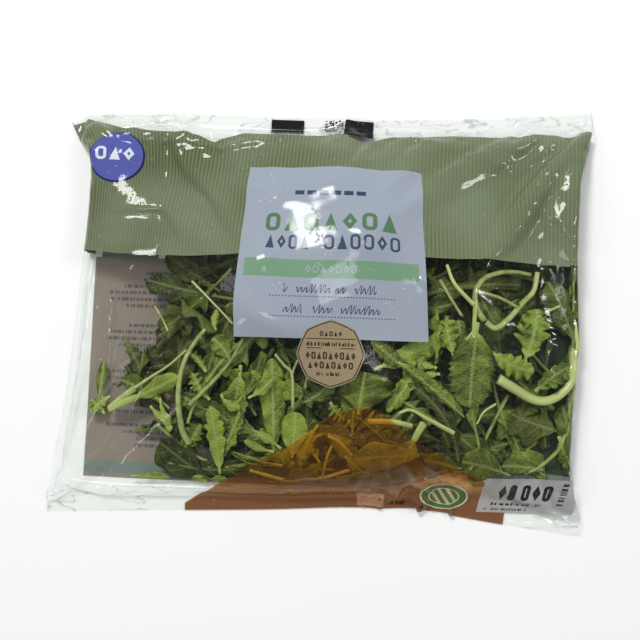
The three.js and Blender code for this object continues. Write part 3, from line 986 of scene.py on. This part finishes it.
def leaf_faces():
    """Faces of one leaf: its top, its underside, and both ends. The rim's points are shared."""
    inner = PLACES - 2
    top = np.arange(STATIONS * PLACES).reshape(STATIONS, PLACES)
    under = top.copy()
    under[:, 1:-1] = STATIONS * PLACES + np.arange(STATIONS * inner).reshape(STATIONS, inner)

    def quads(g):
        return np.stack([g[:-1, :-1], g[1:, :-1], g[1:, 1:], g[:-1, 1:]], -1).reshape(-1, 4)

    faces = quads(top).tolist() + quads(under)[:, ::-1].tolist()
    for station, order in ((0, 1), (-1, -1)):
        for k in range(PLACES - 1):
            corners = [top[station, k], top[station, k + 1], under[station, k + 1], under[station, k]]
            faces.append([int(v) for v in dict.fromkeys(corners[::order])])
    return faces


LEAF_MARKS = ("across", "along", "blade", "tone", "warmth", "under")
TOP_SHARE = 0.35


def leaf_mesh(name, leaves, space, material):
    """All leaves of one kind, joined."""
    shape = leaf_faces()
    points, faces, marks = [], [], []
    for leaf in leaves:
        middle, thick, d, s, blade = leaf_grid(leaf, space)
        lift = grid_normals(middle) * thick[..., None]
        lift[:, [0, -1]] = 0
        start = sum(len(block) for block in points)
        points.append((middle + lift * TOP_SHARE).reshape(-1, 3))
        points.append((middle - lift)[:, 1:-1].reshape(-1, 3))
        faces += [[v + start for v in face] for face in shape]
        for values, under in ((slice(None), 0.0), (slice(1, -1), 1.0)):
            block = [v[:, values].ravel() for v in (d, s, blade)]
            block += [np.full(block[0].shape, v) for v in (leaf["tone"], leaf["warmth"], under)]
            marks.append(np.stack(block))
    piece = new_mesh(name, np.concatenate(points), faces, material)
    add_marks(piece, LEAF_MARKS, np.concatenate(marks, 1))
    return piece


# The near-black first green is painted shade of the heap's depths and gaps; the bright third green is the
# leaves' own pale green with painted light
DEEP_SHADE_GREEN, MID_GREEN, PALE_AND_LIT_GREEN = (0.013, 0.024, 0.004), (0.072, 0.120, 0.013), (0.370, 0.520, 0.060)
WARM_GREEN, STALK_GREEN = (0.190, 0.190, 0.012), (0.50, 0.60, 0.18)
VEIN_GREEN, UNDER_GREEN, GLOW_GREEN = (0.44, 0.52, 0.15), (0.23, 0.30, 0.07), (0.36, 0.50, 0.02)
PATCHES_PER_M, CELLS_PER_M, VEIN_LINE = 130.0, 640.0, 0.045
WARM_SHARE, UNDER_SHARE, GLOW_SHARE, THROUGH_SHARE = 0.45, 0.45, 0.5, 0.24
LEAF_SPECULAR, RELIEF_STRENGTH = 0.32, 0.7
# Of each kind of leaf: roughness, and depth of the fine relief in metres
LEAF_FINISH = (("lobed", 0.34, 0.0005), ("frilled", 0.32, 0.0006), ("toothed", 0.30, 0.0014),
               ("smooth", 0.30, 0.0004))


def attribute_field(tree, name):
    node = tree.nodes.new("ShaderNodeAttribute")
    node.attribute_name = name
    return Field(tree, node.outputs["Fac"])


def leaf_material(name, vein_count, rough, relief_depth):
    material, tree = new_material(name)
    across, along, blade, tone, warmth, under = (attribute_field(tree, key) for key in LEAF_MARKS)
    place = object_place(tree)
    # Tone picks the green: low tones get painted shade, high tones painted light; veins and stalks dim with
    # it
    shade = tone + noise(tree, place, PATCHES_PER_M, 4.0, 0.65).steps(0.3, 0.7, -0.22, 0.22)
    green = mix_colour(tree, shade.steps(0.0, 0.5), DEEP_SHADE_GREEN, MID_GREEN)
    green = mix_colour(tree, shade.steps(0.4, 1.0), green, PALE_AND_LIT_GREEN)
    green = mix_colour(tree, warmth * WARM_SHARE, green, WARM_GREEN)
    green = mix_colour(tree, under * UNDER_SHARE, green, UNDER_GREEN)
    away = across.op("ABSOLUTE")
    side_vein = (along * vein_count - away * VEIN_LEAN).op("FRACT").op("PINGPONG", 0.5).below(VEIN_LINE)
    side_vein = side_vein * away.steps(0.0, 14.0, 0.8, 0.2)
    cells = add_node(tree, "ShaderNodeTexVoronoi", Vector=place, Scale=CELLS_PER_M)
    cells.feature = "DISTANCE_TO_EDGE"
    fine = Field(tree, cells.outputs["Distance"])
    net = fine.steps(0.0, 0.09, 0.32, 0.0)
    veins = side_vein.over(net).over(away.steps(0.25, 0.95, 1.0, 0.0)) * blade
    green = mix_colour(tree, veins * tone.steps(0.0, 0.8, 0.25, 0.8), green, VEIN_GREEN)
    stalk = mix_colour(tree, tone.steps(0.1, 0.8, 0.22, 1.0), MID_GREEN, STALK_GREEN)
    green = mix_colour(tree, blade, stalk, green)
    relief = (fine.steps(0.0, 0.25) * 0.6 - side_vein * 0.5) * blade
    bump = add_node(tree, "ShaderNodeBump", Height=relief, Strength=RELIEF_STRENGTH, Distance=relief_depth)
    body = add_node(tree, "ShaderNodeBsdfPrincipled", Base_Color=green, Normal=bump.outputs[0],
                    Roughness=rough, Specular_IOR_Level=LEAF_SPECULAR)
    glow = mix_colour(tree, GLOW_SHARE, green, GLOW_GREEN)
    through = add_node(tree, "ShaderNodeBsdfTranslucent", Color=glow)
    finish_material(tree, mix_shader(tree, THROUGH_SHARE, body.outputs[0], through.outputs[0]))
    return material


# Kinds of leaves: share of the stalk, lobes and side veins on its length, depth of the quilting, how far the
# edge leans to the tip, thickness of the rib, and number and height of the waves of its edge
KINDS = {
    "lobed": dict(stalk=0.22, lobes=3.4, veins=6, quilt=0.12, sweep=0.45, rib=0.65, waves=4, ruffle=4.0),
    "frilled": dict(stalk=0.10, lobes=5.0, veins=6, quilt=0.40, sweep=0.30, rib=0.65, waves=5, ruffle=6.5),
    "toothed": dict(stalk=0.12, lobes=10.0, veins=9, quilt=0.6, sweep=0.30, rib=0.8, waves=5, ruffle=2.0),
    "smooth": dict(stalk=0.16, lobes=2.0, veins=5, quilt=0.35, sweep=0.15, rib=0.6, waves=2.5, ruffle=2.8),
}
# How leaves curl, in the order of the draws: middle and spread of each turn
CURL = (("bend", 0, 0.7), ("bank", 0, 0.45), ("twist", 0, 0.8), ("cup", 0.25, 0.45), ("arch", 0, 0.04))


def make_leaf(kind, x, y, heading, length, half_width, layer, tone, chance, **changes):
    """A leaf from its stalk's end at x, y. Its curl is drawn from chance unless it is given."""
    leaf = dict(KINDS[kind], kind=kind, placed=False, x=x, y=y, heading=heading, length=length,
                half_width=half_width, layer=layer, tone=tone)
    leaf.update(warmth=chance.uniform(0, 0.8) ** 1.5, phase=chance.random())
    for name, middle, spread in CURL:
        leaf[name] = chance.normal(middle, spread)
    leaf.update(changes)
    return leaf


# Leaves that show: kind, stalk end and tip in the photograph's pixels, half width, layer, tone with painted
# light and shade, and curl
FLAT = dict(bend=0.0, bank=0.0, cup=0.1, twist=0.0)
CRUMPLED = dict(bend=0.1, bank=0.05, cup=0.2, twist=0.1, quilt=1.8, lobes=14.0, ruffle=3.0)
SHOWN = (
    ("toothed", (478, 322), (470, 408), 11.6, 1.0, 0.60, CRUMPLED),
    ("toothed", (371, 341), (401, 367), 4.2, 0.97, 0.60, dict(bend=-0.2, bank=0.3, stalk=0.03)),
    ("toothed", (398, 362), (464, 418), 4.3, 1.0, 0.66, dict(bend=-0.15, bank=0.6, cup=-0.4, stalk=0.03)),
    ("smooth", (358, 415), (365, 372), 15.0, 0.92, 0.52, dict(FLAT, cup=-0.25, twist=0.1, stalk=0.1)),
    ("smooth", (292, 458), (295, 412), 6.4, 1.0, 0.96, dict(FLAT, bend=0.1, cup=0.2, stalk=0.05)),
    ("smooth", (318, 425), (302, 460), 6.0, 0.97, 0.90, dict(bend=0.4, stalk=0.15)),
    ("frilled", (524, 362), (538, 309), 9.5, 0.95, 0.72, dict(bend=0.3, bank=-0.2, warmth=0.0)),
    ("frilled", (492, 352), (535, 372), 5.5, 1.0, 0.95, dict(bend=0.5, bank=0.2)),
    ("toothed", (535, 392), (571, 366), 7.0, 0.9, 0.62, dict(ruffle=3.5, bend=-0.4)),
    ("smooth", (576, 350), (548, 282), 7.5, 0.95, 0.36, dict(bend=0.3, bank=-0.4, cup=0.4)),
    ("smooth", (510, 476), (462, 462), 8.0, 0.92, 0.52, dict(bend=0.3, bank=0.0, cup=0.0, warmth=0.5)),
    ("smooth", (543, 470), (502, 466), 6.0, 0.92, 0.56, dict(bend=0.2, bank=0.0, stalk=0.05, warmth=0.5)),
    ("smooth", (462, 470), (424, 460), 4.5, 0.92, 0.40, dict(bend=0.2, bank=0.2, stalk=0.05)),
    ("smooth", (405, 446), (384, 440), 3.5, 0.97, 0.35, dict(bend=0.0, stalk=0.05)),
    ("toothed", (559, 436), (576, 476), 5.5, 0.95, 0.62, dict(bend=0.2, bank=0.3)),
    ("smooth", (424, 423), (404, 462), 5.0, 1.0, 0.72, dict(bend=0.2, bank=0.3, stalk=0.45, rib=1.5)),
    ("smooth", (419, 456), (354, 460), 7.6, 0.98, 0.80, dict(bend=0.2, bank=0.0, stalk=0.04, warmth=0.7)),
    ("smooth", (345, 456), (392, 492), 6.0, 0.95, 0.75, dict(bend=0.3, bank=0.0, stalk=0.04, warmth=0.7)),
    ("smooth", (336, 478), (388, 487), 4.5, 0.97, 0.90, dict(bend=-0.4, bank=0.3, stalk=0.04)),
    ("frilled", (318, 490), (366, 470), 5.0, 0.95, 0.85, dict(bend=0.3)),
    ("smooth", (328, 434), (354, 462), 5.5, 0.93, 0.62, dict(bend=-0.5, stalk=0.05, warmth=0.8)),
    ("smooth", (268, 486), (318, 470), 5.5, 0.9, 0.66, dict(bend=0.3, warmth=0.7)),
    ("smooth", (298, 500), (300, 455), 5.0, 0.9, 0.42, dict(bend=0.1, warmth=0.2)),
    ("smooth", (498, 486), (450, 494), 5.0, 0.9, 0.70, dict(bend=0.2, warmth=0.9)),
    ("smooth", (108, 409), (178, 377), 5.2, 1.0, 0.84, dict(bend=0.05, bank=0.2, stalk=0.40, rib=1.5)),
    ("smooth", (98, 400), (104, 360), 3.0, 0.9, 0.50, dict(bend=0.1, bank=0.0, stalk=0.02, warmth=0.4)),
    ("frilled", (110, 396), (90, 412), 3.6, 0.95, 0.85, dict(bend=0.5)),
    ("frilled", (104, 414), (90, 400), 3.0, 0.9, 0.78, dict(bend=0.5)),
    ("smooth", (160, 398), (170, 432), 3.2, 0.98, 0.90, dict(bend=0.4, warmth=0.0)),
    ("smooth", (150, 406), (161, 419), 1.6, 1.0, 1.0, dict(FLAT, warmth=0.5)),
    ("smooth", (128, 388), (143, 344), 4.2, 0.35, 0.34, dict(bend=0.9, warmth=0.4)),
    ("frilled", (220, 474), (210, 406), 6.0, 1.0, 0.92, dict(bend=0.1, bank=0.1)),
    ("smooth", (274, 452), (272, 358), 6.6, 0.9, 0.66,
     dict(bend=0.0, bank=0.1, cup=-0.3, stalk=0.02, warmth=0.1)),
    ("smooth", (236, 404), (262, 350), 4.2, 0.85, 0.60, dict(bend=0.6, bank=0.5)),
    ("smooth", (248, 398), (272, 379), 3.6, 0.95, 0.75, dict(bend=0.4, bank=-0.4)),
    ("smooth", (221, 394), (243, 408), 2.6, 1.0, 0.98, dict(bend=1.6, warmth=0.6)),
    ("smooth", (281, 449), (257, 434), 2.2, 1.0, 0.98, dict(bend=0.3, warmth=0.6)),
    ("smooth", (274, 452), (244, 440), 2.0, 1.0, 0.95, dict(bend=-0.5, warmth=0.6)),
    ("smooth", (226, 444), (240, 410), 4.0, 0.9, 0.62, dict(bend=0.2)),
    ("smooth", (283, 466), (232, 452), 4.5, 0.9, 0.55, dict(bend=-0.3, warmth=0.5)),
    ("smooth", (230, 360), (212, 338), 5.0, 0.9, 0.66, dict(bend=0.6, stalk=0.05)),
    ("frilled", (206, 372), (188, 352), 3.5, 0.93, 0.72, dict(bend=0.5)),
    ("frilled", (210, 400), (192, 372), 3.5, 0.93, 0.66, dict(bend=-0.4)),
    ("frilled", (180, 452), (200, 424), 5.5, 0.9, 0.60, dict(bend=0.4)),
    ("smooth", (436, 358), (436, 309), 5.5, 0.93, 0.70, dict(bend=0.4, stalk=0.02, warmth=0.1)),
    ("frilled", (454, 356), (446, 316), 4.8, 0.95, 0.80, dict(bend=-0.3)),
    ("smooth", (437, 368), (422, 364), 1.6, 1.0, 0.90, dict(FLAT)),
    ("smooth", (440, 374), (425, 375), 1.5, 1.0, 0.85, dict(FLAT)),
    ("smooth", (206, 494), (194, 476), 4.2, 0.98, 0.96, dict(stalk=0.05, bend=0.0, bank=0.0, warmth=0.1)),
    ("smooth", (224, 496), (216, 476), 4.4, 0.98, 1.0, dict(stalk=0.05, bend=0.0, bank=0.0, warmth=0.1)),
    ("smooth", (131, 476), (170, 478), 2.6, 0.95, 0.84, dict(bend=0.0, stalk=0.1)),
    ("smooth", (212, 482), (160, 442), 11.0, 0.75, 0.14, dict(stalk=0.1, warmth=0.1)),
    ("smooth", (560, 432), (512, 414), 12.0, 0.75, 0.22, dict(stalk=0.1, cup=0.1, warmth=0.6)),
    ("smooth", (216, 330), (217, 309), 2.3, 0.95, 0.92, dict(stalk=0.05)),
    ("lobed", (187, 424), (238, 344), 5.0, 0.9, 0.60, dict(stalk=0.35)),
    ("lobed", (308, 377), (243, 445), 7.0, 0.8, 0.62, dict()),
    ("lobed", (232, 268), (160, 330), 9.0, 0.8, 0.20, dict()),
    ("lobed", (240, 300), (148, 280), 8.0, 0.7, 0.16, dict()),
    ("smooth", (236, 340), (180, 300), 10.0, 0.6, 0.18, dict()),
    ("frilled", (330, 402), (345, 420), 3.0, 0.97, 0.80, dict()),
    ("frilled", (498, 420), (520, 460), 5.5, 0.8, 0.45, dict()),
    ("lobed", (440, 420), (500, 450), 6.0, 0.6, 0.35, dict()),
    ("smooth", (515, 385), (500, 322), 10.0, 0.5, 0.22, dict(warmth=0.2)),
    ("smooth", (566, 335), (515, 300), 9.0, 0.45, 0.25, dict(warmth=0.4)),
    ("toothed", (545, 290), (470, 345), 10.0, 0.35, 0.20, dict()),
    ("frilled", (505, 300), (530, 345), 7.0, 0.75, 0.50, dict(warmth=0.2)),
    ("smooth", (573, 462), (562, 405), 6.0, 0.55, 0.35, dict(bend=0.1, bank=0.0)),
    ("frilled", (564, 332), (571, 286), 5.0, 0.55, 0.40, dict(bend=0.2, bank=0.0)),
    ("smooth", (571, 345), (560, 395), 6.5, 0.45, 0.30, dict(bend=-0.2, bank=0.0)),
)

# The rest of the heap: height of each layer and how many places it has, the share of each kind, and the least
# and the greatest length and half width of each
LAYERS = ((0.05, 84), (0.25, 64), (0.45, 54), (0.64, 48), (0.8, 46), (0.9, 26))
SHARES = {"lobed": 0.33, "frilled": 0.29, "toothed": 0.19, "smooth": 0.19}
SIZES = {"lobed": (50, 85, 6, 9.5), "frilled": (24, 46, 4, 7.5), "toothed": (30, 52, 6, 10),
         "smooth": (24, 52, 5, 10)}
SPREAD_X, SPREAD_Y, SPREAD_SHIFT, GOLDEN_SHARE = 106.0, 78.0, (7, -4), 0.6180339887
# A filler leaf's tone: a low start, a rise with its layer, and a random spread. The rise is painted light and
# shade: deep leaves darker, top leaves lighter
TONE_LOW, LAYER_LIGHT_RISE, TONE_SPREAD = 0.02, 0.52, 0.20
# Where the band and the right edge leave no leaves to see: places on the table
BAND_EDGE, BAND_SHADE, BAND_HEAP_LEFT, HEAP_LEFT = 22, -14, -78, -100
RIGHT_FREE_LEFT, RIGHT_FREE_LOW, RIGHT_FREE_HIGH = 70, -55, 30
MIDDLE_LEFT, MIDDLE_LEFT_HIGH, LOW_EDGE, LOW_LEFT = -72, -50, -60, -74
# Leaves in the upper left, below the band, keep only a share of their tone: painted shade
SHADE_LEFT, SHADE_SHARE = -30, 0.45


def in_heap(x, y, layer):
    """Whether the photograph shows leaves over a place of the table, or the band hides it."""
    if y > BAND_EDGE:
        return layer < 0.5 and x > BAND_HEAP_LEFT
    if layer > 0.6 and x > RIGHT_FREE_LEFT and RIGHT_FREE_LOW < y < RIGHT_FREE_HIGH:
        return False
    if y > BAND_SHADE:
        return x > (MIDDLE_LEFT if layer < 0.5 else MIDDLE_LEFT_HIGH)
    return x > (HEAP_LEFT if y > LOW_EDGE else LOW_LEFT)


def filler_leaves(chance):
    """The rest of the heap, layer by layer. Lower leaves are darker: painted shade of the heap's depth, with
    painted light on the top ones.
    """
    leaves = []
    for layer, count in LAYERS:
        for k in range(count):
            u, v = (k + 0.5) / count, (k * GOLDEN_SHARE + layer) % 1
            x, y = (2 * u - 1) * SPREAD_X + SPREAD_SHIFT[0], (2 * v - 1) * SPREAD_Y + SPREAD_SHIFT[1]
            kind = chance.choice(list(SHARES), p=list(SHARES.values()))
            short, tall, slim, broad = SIZES[kind]
            length, half_width = chance.uniform(short, tall), chance.uniform(slim, broad)
            heading = chance.uniform(0, 2 * math.pi)
            tone = float(np.clip(chance.normal(TONE_LOW + LAYER_LIGHT_RISE * layer, TONE_SPREAD), 0, 1))
            # Painted shade: the upper left's leaves, below the band, are darker
            tone = tone * SHADE_SHARE if y > BAND_SHADE and x < SHADE_LEFT else tone
            run_x, run_y = math.cos(heading) * length / 2, math.sin(heading) * length / 2
            reach = [(x + 0.8 * share * run_x, y + 0.8 * share * run_y) for share in (-1, 0, 1)]
            if all(in_heap(*place, layer) for place in reach):
                leaf = make_leaf(kind, x - run_x, y - run_y, heading, length, half_width, layer, tone, chance)
                leaves.append(leaf)
    return leaves


CAMERA_PLACE = (36.7, -44.65, 450.0)
CAMERA_TILT, CAMERA_YAW, CAMERA_ROLL = 0.091, 0.080, 0.015
CAMERA_LENS, SENSOR, PHOTO = 55.2, 36.0, 640
FIRST_HEIGHT, SEEN_ROUNDS = 15.0, 4


def camera_turn():
    turn = Matrix.Rotation(CAMERA_TILT, 4, "X") @ Matrix.Rotation(CAMERA_YAW, 4, "Y")
    return turn @ Matrix.Rotation(CAMERA_ROLL, 4, "Z")


def seen_at(pixel, layer, space):
    """The place in a layer of the heap that a pixel of the photograph shows."""
    turn = camera_turn().to_3x3()
    ray = turn @ Vector(((pixel[0] / PHOTO - 0.5) * SENSOR, (0.5 - pixel[1] / PHOTO) * SENSOR, -CAMERA_LENS))
    z = FIRST_HEIGHT
    for _ in range(SEEN_ROUNDS):
        run = (z - CAMERA_PLACE[2]) / ray.z
        x, y = CAMERA_PLACE[0] + run * ray.x, CAMERA_PLACE[1] + run * ray.y
        low, high = space.room(np.array([x]), np.array([y]))
        z = float(low[0] + (high[0] - low[0]) * layer)
    return x, y


def shown_leaves(chance, space):
    leaves = []
    for kind, start, end, half_width, layer, tone, changes in SHOWN:
        (x0, y0), (x1, y1) = seen_at(start, layer, space), seen_at(end, layer, space)
        heading, length = math.atan2(y1 - y0, x1 - x0), math.hypot(x1 - x0, y1 - y0)
        changes = dict(dict(placed=True, arch=0.0, twist=chance.normal(0, 0.3)), **changes)
        leaves.append(make_leaf(kind, x0, y0, heading, length, half_width, layer, tone, chance, **changes))
    return leaves


# Stems that show: half thickness at the start and the end, layer, and the photograph's pixels that they pass
STEMS = (
    (1.5, 2.3, 1.0, ((575, 322), (577, 340), (577, 360), (573, 380), (563, 393), (549, 401), (534, 400),
                     (518, 391), (499, 379))),
    (1.1, 1.3, 1.0, ((538, 272), (534, 291), (523, 303), (509, 319), (496, 328), (486, 322))),
    (0.9, 1.3, 0.98, ((531, 275), (515, 272), (499, 273), (484, 279), (476, 292), (477, 308), (485, 321))),
    (1.0, 0.9, 1.0, ((476, 300), (475, 318), (474, 338))),
    (0.7, 0.9, 0.97, ((447, 265), (455, 284), (474, 305))),
    (0.8, 0.6, 0.95, ((480, 292), (500, 298), (517, 307))),
    (0.9, 0.8, 0.95, ((581, 392), (573, 416), (562, 446), (540, 467), (524, 474))),
    (1.3, 1.1, 1.0, ((368, 421), (394, 422), (412, 426))),
    (0.6, 1.0, 0.97, ((399, 413), (411, 410), (428, 419), (454, 433))),
    (0.8, 1.5, 1.0, ((205, 329), (194, 343), (185, 359), (179, 381), (178, 405), (182, 430), (189, 444))),
    (0.6, 1.0, 1.0, ((243, 338), (231, 360), (213, 381), (189, 405))),
    (1.6, 1.5, 1.0, ((109, 408), (122, 397), (134, 388))),
    (0.7, 0.4, 0.98, ((134, 388), (152, 376), (169, 365), (186, 350))),
    (0.6, 0.8, 0.97, ((275, 354), (284, 365), (292, 375), (293, 408))),
    (0.6, 0.6, 0.97, ((298, 360), (294, 369), (292, 376))),
    (0.7, 0.6, 0.9, ((536, 318), (549, 311), (560, 306))),
    (0.5, 0.4, 0.9, ((192, 281), (221, 311), (233, 324))),
    (0.5, 0.5, 0.8, ((155, 306), (162, 318), (168, 331))),
    (0.8, 0.7, 0.7, ((157, 424), (200, 458), (265, 475))),
    (0.6, 0.5, 0.95, ((328, 436), (340, 442), (352, 455))),
    (0.5, 0.4, 0.97, ((496, 404), (484, 412), (477, 424))),
    (0.7, 0.6, 0.8, ((350, 420), (330, 450), (322, 480))),
    (0.8, 0.7, 0.6, ((508, 395), (490, 430), (470, 470))),
    (0.9, 0.8, 0.8, ((250, 470), (300, 482), (350, 470))),
    (0.5, 0.5, 0.97, ((466, 340), (474, 330), (476, 326))),
    (0.7, 0.6, 0.8, ((440, 280), (452, 300), (462, 316))),
)
STEM_ROUND, STEM_STEPS = 12, 48
STEM_RIBS, RIB_SHARE, STEM_BLUR = 3, 0.10, 4
# Tones of the first stem and, in turn, of the others
FIRST_TONE, STEM_TONES = 1.0, (0.95, 0.6, 0.45, 0.75)
STEM_DARK, STEM_LIGHT = (0.15, 0.22, 0.04), (0.60, 0.67, 0.24)
STREAKS_PER_M, STEM_ROUGHNESS, STEM_THROUGH = 260.0, 0.3, 0.2


def smooth_path(knots, count):
    """A Catmull-Rom curve through the knots, at even steps."""
    knots = np.asarray(knots, float)
    ends = np.concatenate([2 * knots[:1] - knots[1:2], knots, 2 * knots[-1:] - knots[-2:-1]])
    t = np.linspace(0, len(knots) - 1 - 1e-6, 400)
    k, f = t.astype(int), (t % 1)[:, None]
    a, b, c, d = (ends[k + n] for n in range(4))
    bow = (2 * a - 5 * b + 4 * c - d) * f ** 2 + (3 * b - a - 3 * c + d) * f ** 3
    path = 0.5 * (2 * b + (c - a) * f + bow)
    run = np.concatenate([[0], np.cumsum(np.linalg.norm(np.diff(path, axis=0), axis=1))])
    even = np.linspace(0, run[-1], count)
    return np.stack([np.interp(even, run, path[:, n]) for n in range(path.shape[1])], -1)


def stem_mesh(space, material):
    points, faces, marks = [], [], []
    size = STEM_STEPS * STEM_ROUND
    for index, (thick_start, thick_end, layer, knots) in enumerate(STEMS):
        path = smooth_path([seen_at(knot, layer, space) for knot in knots], STEM_STEPS)
        radius = thick_start + (thick_end - thick_start) * np.linspace(0, 1, STEM_STEPS)
        x, y = keep_inside(space, path[:, 0], path[:, 1])
        low, high = space.room(x, y)
        z = np.clip(low + (high - low) * layer, low + radius, np.maximum(high - radius, low + radius))
        blur = 2 * STEM_BLUR + 1
        z = np.convolve(np.pad(z, STEM_BLUR, mode="edge"), np.ones(blur) / blur, "valid")
        centre = np.stack([x, y, z], -1)
        ahead = np.gradient(centre, axis=0)
        ahead /= np.linalg.norm(ahead, axis=1, keepdims=True)
        side = np.cross(ahead, (0, 0, 1))
        side /= np.linalg.norm(side, axis=1, keepdims=True)
        up = np.cross(side, ahead)
        angle = np.arange(STEM_ROUND) * 2 * np.pi / STEM_ROUND
        ring = np.cos(angle)[None, :, None] * side[:, None] + np.sin(angle)[None, :, None] * up[:, None]
        ribbed = radius[:, None] * (1 + RIB_SHARE * np.cos(STEM_RIBS * angle)[None, :])
        start = index * size
        points.append((centre[:, None] + ring * ribbed[..., None]).reshape(-1, 3))
        for row in range(start, start + size - STEM_ROUND, STEM_ROUND):
            for k in range(STEM_ROUND):
                a, b = row + k, row + (k + 1) % STEM_ROUND
                faces.append([a, b, b + STEM_ROUND, a + STEM_ROUND])
        faces.append(list(range(start, start + STEM_ROUND))[::-1])
        faces.append(list(range(start + size - STEM_ROUND, start + size)))
        marks.append(np.full(size, STEM_TONES[index % len(STEM_TONES)] if index else FIRST_TONE))
    piece = new_mesh("stems", np.concatenate(points), faces, material)
    add_marks(piece, ("tone",), [np.concatenate(marks)])
    return piece


def stem_material():
    material, tree = new_material("stem")
    streaks = noise(tree, object_place(tree), STREAKS_PER_M, 2.0).steps(0.3, 0.7, -0.15, 0.15)
    green = mix_colour(tree, (attribute_field(tree, "tone") + streaks).steps(0.0, 1.0), STEM_DARK, STEM_LIGHT)
    body = add_node(tree, "ShaderNodeBsdfPrincipled", Base_Color=green, Roughness=STEM_ROUGHNESS)
    through = add_node(tree, "ShaderNodeBsdfTranslucent", Color=green)
    finish_material(tree, mix_shader(tree, STEM_THROUGH, body.outputs[0], through.outputs[0]))
    return material


FLOOR_HALF, FLOOR_HEIGHT, FLOOR_WHITE = 3000.0, -0.3, (0.94, 0.94, 0.94)
SKY, SKY_STRENGTH = (0.97, 0.985, 1.0), 0.36
# Lamps, all turned to the middle: name, place and size in metres, power and colour
LAMPS = (
    ("window", (-0.35, 0.85, 1.05), (0.36, 0.28), 12.0, (1.0, 0.99, 0.97)),
    ("side", (0.95, 0.25, 0.85), (0.10, 0.34), 3.0, WHITE),
    ("low", (-0.8, -0.55, 0.8), (0.14, 0.25), 1.0, WHITE),
    ("above", (-0.10, 0.16, 1.3), (0.30, 0.22), 1.7, (0.97, 0.99, 1.0)),
)


def add_floor():
    material, tree = new_material("floor")
    body = add_node(tree, "ShaderNodeBsdfPrincipled", Base_Color=FLOOR_WHITE, Roughness=0.8)
    finish_material(tree, body.outputs[0])
    turns = ((-1, -1), (1, -1), (1, 1), (-1, 1))
    corners = [(x * FLOOR_HALF, y * FLOOR_HALF, FLOOR_HEIGHT) for x, y in turns]
    floor = new_mesh("floor", corners, [[0, 1, 2, 3]], material, smooth=False)


def add_lights():
    world = bpy.data.worlds.new("studio")
    world.use_nodes = True
    background = world.node_tree.nodes["Background"]
    feed(world.node_tree, background.inputs["Color"], SKY)
    feed(world.node_tree, background.inputs["Strength"], SKY_STRENGTH)
    bpy.context.scene.world = world
    for name, place, size, power, colour in LAMPS:
        light = bpy.data.lights.new(name, "AREA")
        light.shape = "RECTANGLE"
        light.size, light.size_y = size
        light.energy, light.color = power, colour
        lamp = bpy.data.objects.new(name, light)
        lamp.location = place
        lamp.rotation_euler = (-Vector(place)).to_track_quat("-Z", "Y").to_euler()
        bpy.context.scene.collection.objects.link(lamp)


def add_camera():
    camera = bpy.data.cameras.new("camera")
    camera.sensor_width, camera.lens = SENSOR, CAMERA_LENS
    viewer = bpy.data.objects.new("camera", camera)
    viewer.matrix_world = Matrix.Translation(Vector(CAMERA_PLACE) * MM) @ camera_turn()
    bpy.context.scene.collection.objects.link(viewer)
    bpy.context.scene.camera = viewer


def build():
    bpy.context.scene.view_settings.view_transform = "Standard"
    add_camera()
    film = relaxed_film()
    space = Space(film)
    pack = film_piece(film, front_material(), back_material())
    chance = np.random.default_rng(11)
    leaves = shown_leaves(chance, space) + filler_leaves(chance)
    pieces = [pack, stem_mesh(space, stem_material())]
    for kind, rough, relief_depth in LEAF_FINISH:
        chosen = [leaf for leaf in leaves if leaf["kind"] == kind]
        material = leaf_material(kind + "_leaf", KINDS[kind]["veins"], rough, relief_depth)
        pieces.append(leaf_mesh(kind + "_leaves", chosen, space, material))
    for piece in pieces:
        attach(piece, "root")
        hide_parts("bag")
    add_floor()
    add_lights()


build()
